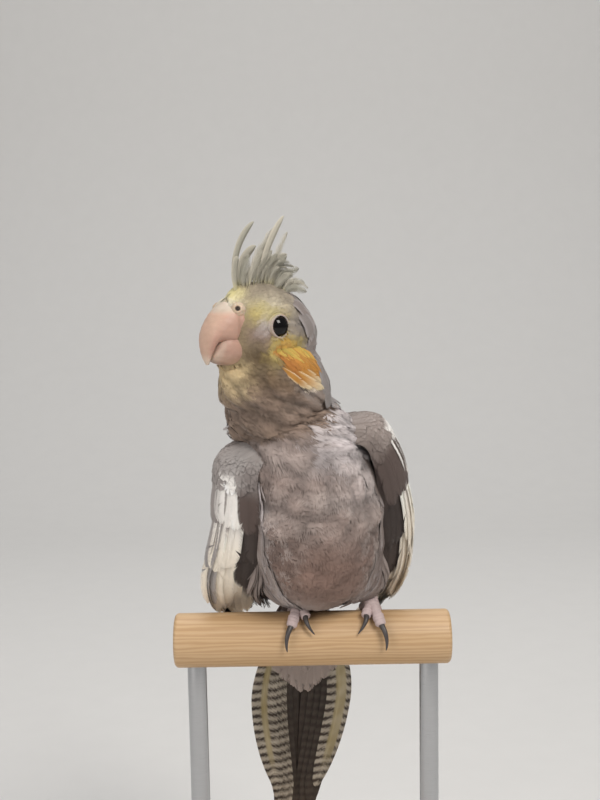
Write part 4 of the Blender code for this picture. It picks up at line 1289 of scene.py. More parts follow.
@dataclass
class Flesh:
    """The bird's flesh as one skin from rump to forehead.

    Its rings lie in planes that cross the trunk and neck and then fan out round a line in front
    of the throat, through the head. A ring's point is where a line from outside towards the
    ring's centre meets the solids, drawn in by the depth of the coat there.
    """

    pose: Pose
    nodes: dict[str, Piece]
    markings: Markings
    rows: int = 300
    sides: int = 160
    reach: float = 60 * MM
    fan: Pair = (24.0, -14.0)
    trunk_line: Rows = (
        (30.5, -11), (25.5, -4), (22.5, 2), (17.5, 8), (10, 16.5), (5, 27), (1, 39), (-2, 51),
    )
    neck_line: Rows = (
        (-5.0, -4.0, 59, 0), (-7.5, -5.5, 66, -15), (-9.8, -7, 72.5, -30), (-11.8, -8, 79, -43),
    )
    head_line: Rows = (
        (16, -2, -6.6), (28, 0.5, -1.5), (40, 3, 3.7), (52, 8.3, 6.1), (58, 11.3, 6.4),
        (62, 12.7, 7.0), (66, 14.4, 7.2), (69, 15.4, 7.0),
    )
    folds: tuple[str, ...] = ("torso", "neck", "head", "leg_left", "leg_right")

    def spine(self) -> Array:
        """Lays out the rings along the bird.

        Returns:
            Centre, front and left of every ring, nine numbers a row, evenly spaced.
        """
        line = through(np.array(self.trunk_line), len(self.trunk_line))
        slope = np.gradient(line, axis=0)
        slope /= np.linalg.norm(slope, axis=1, keepdims=True)
        centre = np.column_stack([np.zeros(len(line)), line]) * MM
        step = np.column_stack([np.zeros(len(line)), -slope[:, 1], slope[:, 0]]) * MM
        front = unit(self.pose.body(centre + step) - self.pose.body(centre))
        left = unit(self.pose.body(centre + (MM, 0, 0)) - self.pose.body(centre))
        parts = [np.hstack([self.pose.body(centre), front, left])]
        turn = np.radians([row[3] for row in self.neck_line])
        flat = np.zeros(len(turn))
        place = self.pose.bird(np.array([row[:3] for row in self.neck_line]) * MM)
        front = np.column_stack([np.sin(turn), -np.cos(turn), flat])
        parts.append(np.hstack([place, front, np.column_stack([np.cos(turn), np.sin(turn), flat])]))
        rise = np.radians([row[0] for row in self.head_line])
        flat = np.zeros(len(rise))
        place = self.pose.head(np.array([(f, 0.0, u) for _, f, u in self.head_line]) * MM)
        axes = self.pose.head_axes()
        front = np.column_stack([np.cos(rise), flat, -np.sin(rise)]) @ axes
        parts.append(np.hstack([place, front, np.broadcast_to(axes[1], front.shape)]))
        fine = through(np.vstack(parts), 1500)
        gap = np.linalg.norm(np.diff(fine[:, :3], axis=0), axis=1)
        gap = gap + 15 * MM * np.linalg.norm(np.diff(fine[:, 3:6], axis=0), axis=1)
        travelled = np.concatenate([[0], np.cumsum(gap)])
        even = np.linspace(0, travelled[-1], self.rows)
        line = np.column_stack([np.interp(even, travelled, column) for column in fine.T])
        line[:, 3:6] = unit(line[:, 3:6])
        line[:, 6:9] = unit(line[:, 6:9] - line[:, 3:6] * (line[:, 3:6] * line[:, 6:9]).sum(1, keepdims=True))
        return line

    def outline(self, line: Array) -> Array:
        """Casts rays from outside towards each ring's centre.

        Args:
            line: the rings, as spine gives them.

        Returns:
            Distance from the centre out to the solids, for every ring and direction.
        """
        meshes = [self.nodes[name].data for name in self.folds]
        points, faces, start = [], [], 0
        for mesh in meshes:
            flat = np.empty(len(mesh.vertices) * 3, np.float32)
            mesh.vertices.foreach_get("co", flat)
            points.append(flat.reshape(-1, 3))
            faces += [tuple(start + k for k in face.vertices) for face in mesh.polygons]
            start += len(mesh.vertices)
        tree = BVHTree.FromPolygons(np.concatenate(points).tolist(), faces)
        ways = round_ways(full_turn(self.sides), line[:, 3:6], line[:, 6:9])
        starts = (line[:, None, :3] + ways * self.reach).reshape(-1, 3)
        inward = (-ways).reshape(-1, 3)
        met = [
            tree.ray_cast(start, way, self.reach)[3]
            for start, way in zip(starts.tolist(), inward.tolist())
        ]
        distance = np.array([self.reach if found is None else found for found in met])
        return (self.reach - distance).reshape(len(line), self.sides)

    def depth(self, points: Array) -> Array:
        """How deep the coat is over the skin.

        Args:
            points: places in the row frame.

        Returns:
            A depth for each.
        """
        f, _, u = self.pose.in_head(points)
        depth = 2.0 - 0.9 * ease(u, -26, -10)
        return (depth - 0.7 * ease(f + 0.2 * u, -2, 9) * ease(u, -18, -10)) * MM

    def inset(self, points: Array) -> Array:
        """How far the skin lies inside the solids: the coat's depth and, on the breast, half a lock."""
        _, y, z = self.pose.level(points)
        return self.depth(points) + 1.0 * MM * ease(-y, -2, 8) * ease(z, 18, 34) * ease(-z, -80, -66)

    def surface(self) -> Surface:
        """Draws the skin in from the solids, smooths it and closes both ends.

        Returns:
            The skin's grid of points.
        """
        line = self.spine()
        radius = self.outline(line)
        ways = round_ways(full_turn(self.sides), line[:, 3:6], line[:, 6:9])
        rough = soften(radius, 3.0, 3.0)
        fine = soften(radius, 1.2, 1.2)
        rows = np.arange(self.rows)[:, None] / self.rows
        radius = rough + (fine - rough) * ease(rows, 0.72, 0.8)
        points = line[:, None, :3] + ways * radius[..., None]
        inset = np.minimum(self.inset(points), radius * 0.6)
        radius = soften(radius - inset, 1.0, 1.0)
        shut = ease(np.arange(self.rows), 0, 12) ** 0.5
        radius = radius * shut[:, None]
        radius[0] = 0.0
        radius[-1] = 0.0
        return Surface(line[:, None, :3] + ways * radius[..., None])

    def dress(self, surface: Surface) -> Piece:
        """Makes the skin in the coat's colours, darkened as painted shade where it shows between feathers.

        Args:
            surface: its grid of points.

        Returns:
            The piece, which stands for the folds' solids.
        """
        piece = tube("skin", surface.points, "OFBake")
        # The coat's colours at 0.62: painted shade in the gaps between feathers.
        paint(piece, self.markings.coat(surface.points) * 0.62)
        return wear(piece, UNDERSKIN, "grey_plumage", *self.folds)


@dataclass
class Covering:
    """The soft coat of the whole skin, cut into pieces from rump to forehead.

    A feather's root is sunk to the skin and its tip rises to the coat's depth. It is a leaf of
    a few faces whose free edge ends in loose barbs, all bent round the surface they lie on. A
    fuller place gives its a and b, its reach along each and how much higher it is, in millimetres.
    """

    pose: Pose
    surface: Surface
    markings: Markings
    flesh: Flesh
    eye: Triple = (2.3, 9.0, 1.7)
    bare: float = 4.5
    cuts: tuple[float, ...] = (0.0, 0.26, 0.36, 0.46, 0.56, 0.66, 0.76, 0.86, 1.0)
    fuller: Rows = (
        (0.750, -0.09, 0.030, 0.09, 2.2), (0.690, -0.14, 0.045, 0.05, 0.3), (0.585, -0.20, 0.040, 0.05, 1.8),
        (0.530, -0.25, 0.030, 0.05, 1.2), (0.470, 0.27, 0.050, 0.035, 3.0),
    )
    spread: float = 0.14
    fringe: float = 0.12
    swell: Array = field(init=False)
    facing: Array = field(init=False)

    def __post_init__(self) -> None:
        """Works out the locks' height, the same blurred for painted light on their tops and painted shade
        between them, and how the coat's outside faces.
        """
        relief = soften(self.relief(), 1.2, 0.9)
        self.swell = np.stack([relief, soften(relief, 7.0, 5.0)], -1)
        outside = self.surface.points + self.surface.normals * relief[..., None]
        self.facing = Surface(outside).normals

    def top(self, a: Array, b: Array) -> Array:
        """Height of the coat's outside over the skin."""
        return self.depth(self.surface.place(a, b)) + self.surface.value(self.swell, a, b)[..., 0]

    def zones(self, points: Array) -> tuple[Array, Array, Array]:
        """How far points belong to head, face and breast.

        Args:
            points: places in the row frame.

        Returns:
            Three shares from 0 to 1 for each.
        """
        f, _, u = self.pose.in_head(points)
        head = ease(u + 0.2 * f, -22, -11)
        face = ease(f + 0.2 * u, -1, 9) * ease(u, -17, -11)
        y = self.pose.level(points)[1]
        breast = ease(-y, -2, 8) * (1 - head)
        return head, face, breast

    def spacing(self, points: Array) -> Array:
        """Wanted distance between feathers, wide where the wings hide them.

        Args:
            points: places in the row frame.

        Returns:
            A distance for each.
        """
        head, face, _ = self.zones(points)
        x, y, z = self.pose.level(points)
        hidden = ease(np.abs(x), 15, 19) * ease(y, -8, -3) * ease(z, -4, 2) * ease(-z, -56, -50)
        return (1.12 - 0.37 * head - 0.22 * face + 1.4 * hidden) * MM

    def length(self, points: Array) -> Array:
        """Length of feathers."""
        head, face, _ = self.zones(points)
        return (7.6 - 3.6 * head - 1.7 * face) * MM

    def width(self, points: Array) -> Array:
        """Half width of feathers."""
        return self.length(points) * 0.36

    def depth(self, points: Array) -> Array:
        """Height of feather tips over the skin."""
        return self.flesh.depth(points) * 0.95

    def swirl(self, points: Array) -> Array:
        """How far feathers turn away from the lie of the coat."""
        breast = self.zones(points)[2]
        return (0.12 + 0.38 * breast) * ripple(points, 22 * MM, 31)

    def relief(self) -> Array:
        """Works out the height of the coat's rounded locks over the skin.

        With r and s the distances to the nearest and the next lock's middle, each shared by the
        lock's size, a lock's height is 1 - (r / s)^3: flat on top, with a narrow valley round it.
        It rises towards its lower end, so that locks overlap as slates do. Fuller places are
        added as bumps exp(-r^2).

        Returns:
            A height for each point of the grid.
        """
        rows, columns = self.surface.points.shape[:2]
        draw = np.random.default_rng(41)
        a, b = self.surface.scatter(lambda p: (8.0 - 1.6 * self.zones(p)[0]) * MM, draw)
        a, b = a + draw.normal(0, 0.006, len(a)), b + draw.normal(0, 0.008, len(b))
        root = self.surface.place(a, b)
        head, face, breast = self.zones(root)
        level = self.pose.level(root)[2]
        size = draw.uniform(0.75, 1.3, len(a))
        front = np.maximum(breast, ease(-root[:, 1] / MM, 2, 8) * (1 - 0.75 * head))
        puffs = front * (0.25 + 0.75 * ease(level, 24, 42))
        height = (0.15 + 1.9 * puffs + 0.2 * head) * (1 - 0.85 * face) * MM * draw.uniform(0.7, 1.3, len(a))
        span = self.surface.value(self.surface.span, a, b)
        place_a = np.linspace(0, 1, rows)[:, None]
        place_b = np.linspace(0, 1, columns, endpoint=False)[None]
        turn = draw.normal(0, 0.5, len(a))
        near, after = np.full((2, rows, columns), 9.0 * MM)
        rise = np.zeros((rows, columns))
        for k in range(len(a)):
            down = (a[k] - place_a) * span[k, 0]
            aside = (np.mod(place_b - b[k] + 0.5, 1) - 0.5) * span[k, 1]
            along = down * math.cos(turn[k]) + aside * math.sin(turn[k])
            out = aside * math.cos(turn[k]) - down * math.sin(turn[k])
            away = np.sqrt((0.8 * along) ** 2 + out**2) / size[k]
            own = height[k] * (1 + 0.3 * np.tanh(along / (4 * MM)))
            rise = np.where(away < near, own, rise)
            after = np.minimum(after, np.maximum(near, away))
            near = np.minimum(near, away)
        rise = rise * (1 - (near / after) ** 3)
        for mid_a, mid_b, long, wide, more in self.fuller:
            round_way = np.mod(place_b - mid_b + 0.5, 1) - 0.5
            rise = rise + more * MM * np.exp(-(((place_a - mid_a) / long) ** 2) - (round_way / wide) ** 2)
        return rise

    def leaf(self) -> tuple[Array, Array, Array]:
        """Lays out a leaf with loose barbs round its free edge.

        Returns:
            Along and out of its points, and its faces as triangles.
        """
        t = np.array([0.0, 0.3, 0.6, 0.82])
        half = np.array([0.35, 0.72, 0.78, 0.5])
        along = np.repeat(t, 3)
        out = (half[:, None] * np.array([-1.0, 0.0, 1.0])).ravel()
        quads = grid_faces(4, 3, False)
        faces = [quads[:, [0, 1, 2]], quads[:, [0, 2, 3]]]
        fan = np.linspace(-1.0, 1.0, 15)
        angle = fan * 1.75
        root_t = 0.60 + 0.26 * np.cos(angle * 0.9)
        root_w = 0.62 * np.sin(angle)
        tip_t = root_t + 0.24 * np.cos(angle * 0.62) + 0.03
        tip_w = root_w + 0.42 * np.sin(angle * 0.8)
        wide = 0.085
        normal_t, normal_w = -np.sin(angle) * 0.5, np.cos(angle)
        rays_t = np.stack([root_t - normal_t * wide, root_t + normal_t * wide, tip_t], -1)
        rays_w = np.stack([root_w - normal_w * wide, root_w + normal_w * wide, tip_w], -1)
        start = len(along) + 3 * np.arange(len(fan))[:, None]
        faces.append(start + np.array([0, 1, 2]))
        along = np.concatenate([along, rays_t.ravel()])
        out = np.concatenate([out, rays_w.ravel()])
        return along, out, face_up(along, out, np.concatenate(faces))

    def plume(self, name: str, a: Array, b: Array, seed: int) -> Piece:
        """Makes one mesh of feathers.

        Args:
            name: name of the piece.
            a: places of the roots along the surface.
            b: places of the roots round it.
            seed: source of chance.

        Returns:
            The piece, with its tint and its bake map.
        """
        draw = np.random.default_rng(seed)
        along, out, faces = self.leaf()
        count = len(a)
        root = self.surface.lift(a, b, np.zeros(count))
        length = self.length(root) * draw.uniform(0.8, 1.15, count)
        width = self.width(root) * draw.uniform(0.8, 1.2, count)
        turn = self.swirl(root) + draw.normal(0, self.spread, count)
        jitter = draw.normal(0, 0.035, (count, len(along))) * (along > 0.5)
        t = along + jitter
        down = t * length[:, None]
        aside = (out + draw.normal(0, 0.05, (count, len(along)))) * width[:, None]
        cos, sin = np.cos(turn)[:, None], np.sin(turn)[:, None]
        span = self.surface.value(self.surface.span, a, b)
        place_a = a[:, None] - (down * cos - aside * sin) / span[:, :1]
        place_b = b[:, None] + (down * sin + aside * cos) / span[:, 1:]
        depth = self.depth(root) * draw.uniform(0.75, 1.15, count)
        rise = depth[:, None] * (0.12 + 0.88 * np.clip(t, 0, 1) ** 0.8) * (1 - 0.3 * out**2)
        swell, broad = np.moveaxis(self.surface.value(self.swell, place_a, place_b), -1, 0)
        points = self.surface.lift(place_a, place_b, rise + swell)
        index = faces[None] + (np.arange(count) * len(along))[:, None, None]
        piece = make_mesh(name, points, index.reshape(-1, 3))
        lean = unit(self.surface.value(self.facing, place_a, place_b))
        calm(piece, lean + draw.normal(0, 0.06, (count, 1, 3)), 0.9)
        shown = self.surface.place(a - 0.75 * length * np.cos(turn) / span[:, 0], b)
        # Painted light and shade: a lock's colour is lighter where it stands above its blurred surroundings
        # and darker in the valleys between locks.
        relief = 1 + 0.42 * np.tanh((swell - broad) / (0.8 * MM))
        base = self.markings.coat(shown)[:, None] * relief[..., None]
        tone = draw.normal(1.0, 0.035, (count, 1))
        pale = ease(t, 0.5, 1.0) * self.fringe + ease(np.abs(out), 0.5, 1.0) * self.fringe * 0.5
        dark = 0.88 + 0.12 * ease(t, 0.05, 0.6)
        tint = base * (tone * dark)[..., None]
        tint = tint + (1 - tint) * (pale * 0.9)[..., None] * base.mean(-1, keepdims=True)
        paint(piece, np.clip(tint, 0, 1))
        flat = np.stack(np.broadcast_arrays(b[:, None], a[:, None], t)[:2], -1)
        flat = flat * 0.99 + 0.003 * np.stack(np.broadcast_arrays(out, np.clip(t, 0, 1)), -1) + 0.003
        unwrap(piece, np.mod(flat, 1.0))
        return piece

    def build(self) -> list[Piece]:
        """Makes the coat's pieces, with the eyes left bare.

        Returns:
            The pieces, from rump to forehead.
        """
        draw = np.random.default_rng(51)
        a, b = self.surface.scatter(self.spacing, draw)
        f, l, u = self.pose.in_head(self.surface.place(a, b))
        away = np.sqrt((f - self.eye[0]) ** 2 + (np.abs(l) - self.eye[1]) ** 2 + (u - self.eye[2]) ** 2)
        keep = (away > self.bare) & (a > 0.01) & (a < 0.997)
        a, b = a[keep], b[keep]
        pieces = []
        for number, (low, high) in enumerate(zip(self.cuts, self.cuts[1:])):
            some = (a >= low) & (a < high)
            piece = self.plume(f"coat_{number + 1}", a[some], b[some], 60 + number)
            pieces.append(wear(piece, SOFT, "grey_plumage"))
        return pieces


@dataclass
class Loose:
    """Single larger feathers laid over the coat, each along a bent path on the skin.

    A row gives root a and b, bend a and b, tip a and b, half width and how far the tip stands off.
    The path is the parabola through root, bend and tip, lifted to the coat's outside.
    """

    covering: Covering
    count: int = 17
    flank_line: Rows = (
        (0.50, 0.20), (0.42, 0.192), (0.34, 0.180), (0.28, 0.158),
        (0.24, 0.125), (0.212, 0.08), (0.205, 0.04),
    )
    neck: Rows = (
        (0.790, 0.385, 0.725, 0.325, 0.640, 0.262, 2.6, 0.4),
        (0.745, 0.36, 0.685, 0.315, 0.615, 0.265, 2.8, 0.5),
        (0.775, 0.425, 0.705, 0.385, 0.620, 0.34, 3.0, 0.4),
    )
    tongues: Rows = (
        (0.768, 0.200, 0.733, 0.238, 0.704, 0.285, 1.7, 0.3),
        (0.775, 0.225, 0.742, 0.262, 0.716, 0.305, 1.5, 0.3),
        (0.762, 0.190, 0.730, 0.215, 0.708, 0.245, 1.1, 0.2),
    )
    wisps: Rows = (
        (0.64, -0.165, 0.575, -0.215, 0.49, -0.25, 0.45, 1.2),
        (0.61, -0.17, 0.60, -0.21, 0.597, -0.262, 0.35, 4.0),
        (0.60, -0.18, 0.588, -0.22, 0.585, -0.265, 0.3, 3.0),
        (0.615, -0.19, 0.61, -0.23, 0.61, -0.27, 0.25, 3.0),
    )

    def lay(
        self, name: str, rows: Array, inner: Array, rim: Array, barbs: Barbs,
        sunk: float = 1.0, edge: float = 0.55, fade: float = 0.78, finish: Finish = FIRM,
    ) -> Piece:
        """Makes one mesh of feathers.

        Args:
            name: name of the piece.
            rows: the feathers, eight numbers each.
            inner: colour of each feather's middle.
            rim: colour of each feather's edge and tip.
            barbs: how each vane is divided.
            sunk: how deep the roots lie in the coat, in millimetres.
            edge: share of the half width where the rim begins.
            fade: share of the length where the rim's colour begins at the tip.
            finish: the look of its surface.

        Returns:
            The piece.
        """
        rows = np.asarray(rows, float)
        t = np.linspace(0, 1, self.count)[None, :, None]
        root, bend, tip = rows[:, None, 0:2], rows[:, None, 2:4], rows[:, None, 4:6]
        a, b = np.moveaxis(parabola(root, bend, tip, t), -1, 0)
        share = t[..., 0]
        height = self.covering.top(a, b)
        for _ in range(3):
            height[:, 1:-1] = (height[:, :-2] + 2 * height[:, 1:-1] + height[:, 2:]) / 4
        height = height + (rows[:, 7:8] * share**2 - sunk * (1 - ease(share, 0.0, 0.45)) + 0.25) * MM
        surface = self.covering.surface
        middle = surface.lift(a, b, height)
        outward = unit(surface.lift(a, b, height + MM) - middle)
        across = unit(np.cross(outward, np.gradient(middle, axis=1)))
        plumes = Plumes(
            middle, across, outward, rows[:, 6] * MM, blunt=0.55, base=0.3,
            camber=0.1 * rows[:, 6].mean() * MM, tilt=0.1 * MM, split=0.035, seed=len(rows),
        )
        inner, rim = (np.broadcast_to(shade, (len(rows), 3)) for shade in (inner, rim))

        def tint(feather: Array, along: Array, out: Array) -> Array:
            """The inner colour, passing into the rim's at the edges and the tip.

            Args:
                feather: number of each point's feather.
                along: share along it.
                out: share out from its shaft.

            Returns:
                A colour for each point.
            """
            border = np.maximum(ease(np.abs(out), edge, 1.0), ease(along, fade, 1.0))
            shade = blend(inner[feather], rim[feather], 0.85 * border)
            return np.clip(shade * (0.82 + 0.18 * ease(along, 0.0, 0.5))[..., None], 0, 1)

        return wear(plumes.build(name, barbs, tint), finish, "grey_plumage")

    def both(self, rows: Array) -> Array:
        """Rows for both sides: the given ones and their mirror images."""
        rows = np.asarray(rows, float)
        return np.vstack([rows, rows * (1, -1, 1, -1, 1, -1, 1, 1)])

    def flanks(self) -> Array:
        """Lays the long flank feathers down beside the belly and in under it.

        Returns:
            Their rows, the highest roots first.
        """
        draw = np.random.default_rng(201)
        line = through(self.flank_line, 61)
        rows = []
        for _ in range(34):
            start = draw.uniform(0, 44)
            reach = draw.uniform(13, 17)
            inset = draw.uniform(0.72, 1.06) if start < 30 else draw.uniform(0.8, 1.3)
            picks = line[np.round([start, start + reach / 2, min(start + reach, 60)]).astype(int)]
            picks = picks * (1.0, inset)
            rows.append([*picks.ravel(), draw.uniform(0.9, 1.9), draw.uniform(0.0, 0.5)])
        rows = np.array(rows)
        return self.both(rows[np.argsort(-rows[:, 0])])

    def patch(
        self, low: Array, high: Array, count: int, run: Array,
        half: Pair, off: float, seed: int,
    ) -> Array:
        """Rows of feathers rooted by chance between two corners of the skin's map.

        Args:
            low: least a and b of the roots.
            high: greatest a and b.
            count: how many feathers.
            run: change of a and b from root to tip.
            half: least and greatest half width.
            off: most that a tip stands off.
            seed: source of chance.

        Returns:
            The rows, the highest roots last, so that their order is that of overlapping slates.
        """
        draw = np.random.default_rng(seed)
        root = draw.uniform(low, high, (count, 2))
        root = root[np.argsort(root[:, 0])]
        step = np.asarray(run) * draw.uniform(0.75, 1.2, (count, 1))
        step = step + draw.normal(0, 1, (count, 2)) * (0.002, 0.006)
        bend = root + 0.5 * step + draw.normal(0, 1, (count, 2)) * (0.0, 0.004)
        wide, free = draw.uniform(*half, count), draw.uniform(0.0, off, count)
        return np.column_stack([root, bend, root + step, wide, free])

    def build(self) -> list[Piece]:
        """Makes nape, neck, ear, flank, thigh, shoulder and chin feathers.

        Returns:
            A piece for each kind.
        """
        soft, firm = Barbs(30, lean=0.12), Barbs(36, lean=0.12)
        draw = np.random.default_rng(202)
        pieces = self.neck_pieces(draw, firm) + self.ear_pieces(draw, soft)
        pieces += self.leg_pieces(draw, soft)
        tufts = self.patch((0.43, -0.19), (0.50, -0.13), 14, (-0.045, 0.006), (0.4, 0.9), 0.9, 206)
        inner = blend(Shade.BODY_PALE, Shade.COLLAR, draw.uniform(0.4, 1.0, len(tufts)))
        pieces.append(self.lay("pale_tufts", tufts, inner, inner * 1.1, soft, 1.2, 0.2, finish=SOFT))
        pieces.append(self.lay("shoulder_wisps", self.wisps, Shade.COLLAR, Shade.WHITE, soft, 1.0, 0.4))
        chin = self.patch((0.766, -0.115), (0.778, -0.080), 7, (-0.020, -0.004), (0.4, 0.7), 0.3, 207)
        inner = blend(Shade.THROAT, Shade.CREAM, draw.uniform(0.3, 0.9, len(chin)))
        pieces.append(self.lay("chin_plumes", chin, inner, inner, soft, 1.0, 0.4, finish=SOFT))
        return pieces

    def neck_pieces(self, draw: Draw, barbs: Barbs) -> list[Piece]:
        """Makes rows of feathers down the nape and a few long ones beside the neck.

        Args:
            draw: source of chance.
            barbs: how each vane is divided.

        Returns:
            The two pieces.
        """
        run, half = (-0.075, 0.0), (2.3, 3.1)
        nape = np.vstack([
            self.patch((a, 0.335 + 0.02 * (row % 2)), (a + 0.012, 0.655), 9, run, half, 0.12, 210 + row)
            for row, a in enumerate(np.linspace(0.66, 0.90, 9))
        ])
        nape[:, 3] += 0.05 * (0.5 - nape[:, 1])
        nape[:, 5] += 0.12 * (0.5 - nape[:, 1])
        inner = blend(Shade.NAPE, Shade.BODY, draw.uniform(0.0, 0.7, len(nape)))
        rim = blend(inner, Shade.COLLAR, np.full(len(nape), 0.6))
        return [
            self.lay("nape_plumes", nape, inner, rim, barbs, 1.4, 0.7),
            self.lay("neck_plumes", self.neck, Shade.NAPE * 0.95, Shade.ASH, barbs, 1.0, 0.6),
        ]

    def ear_pieces(self, draw: Draw, barbs: Barbs) -> list[Piece]:
        """Makes the orange ear patch and the pale tongues at its lower end.

        Args:
            draw: source of chance.
            barbs: how each vane is divided.

        Returns:
            The two pieces.
        """
        ear = self.patch((0.765, 0.212), (0.812, 0.315), 76, (-0.040, 0.020), (0.45, 0.85), 0.2, 203)
        top = ease(ear[:, 0], 0.792, 0.812)
        low = ease(-ear[:, 1] - 0.6 * (ear[:, 0] - 0.77), -0.29, -0.21)
        # The feathers that low picks out get a deeper orange: painted shade on the ear patch's lower part.
        inner = blend(blend(Shade.ORANGE, Shade.EAR_YELLOW, top), Shade.ORANGE_DEEP, 0.8 * low * (1 - top))
        inner = np.tile(inner * draw.normal(1.0, 0.10, (len(ear), 1)), (2, 1))
        tip = blend(Shade.EAR_YELLOW, Shade.CREAM, np.array(0.6))
        tongues = self.both(self.tongues)
        return [
            self.lay("ear_plumes", self.both(ear), inner, inner * 1.06, barbs, 0.8),
            self.lay("ear_tongues", tongues, Shade.ORANGE * 0.9, tip, barbs, 0.7, 0.97, 0.5),
        ]

    def leg_pieces(self, draw: Draw, barbs: Barbs) -> list[Piece]:
        """Makes the long flank feathers and the fluff of the thighs, fuller on the right.

        Args:
            draw: source of chance.
            barbs: how each vane is divided.

        Returns:
            The two pieces.
        """
        flank = self.flanks()
        light = draw.uniform(0.0, 0.6, len(flank)) + 0.4 * (flank[:, 1] < 0)
        inner = blend(Shade.BODY_DARK, Shade.BODY_PALE, light)
        rim = blend(inner, Shade.COLLAR, 0.3 + 0.6 * light)
        pieces = [self.lay("flank_plumes", flank, inner, rim, barbs, 1.2, 0.5)]
        count = 90
        thigh = self.patch((0.255, 0.165), (0.315, 0.205), count, (-0.090, -0.015), (0.8, 1.5), 5.5, 204)
        thigh = self.both(thigh)
        thigh[:count, 7] *= 0.3
        inner = blend(Shade.BODY_DARK, Shade.BODY_PALE, draw.uniform(0.3, 1, len(thigh)))
        return [*pieces, self.lay("thigh_plumes", thigh, inner, Shade.BODY_PALE, barbs, 1.2, 0.4)]


# ---------------------------------------------------------------- wings


@dataclass(frozen=True)
class Tier:
    """A row of feathers across a folded wing.

    Shares first to last place their middles from the leading edge at 0 to the trailing edge at 1;
    root and tip place their ends from the shoulder at 0 to the wing's tip at 1, for the first and
    the last feather; depth is how far root and tip lie under the wing's outer surface.
    """

    count: int
    first: float
    last: float
    root: Pair
    tip: Pair
    depth: Pair
    half: float
    barbs: Barbs
    blunt: float = 0.7
    uneven: float = 0.008


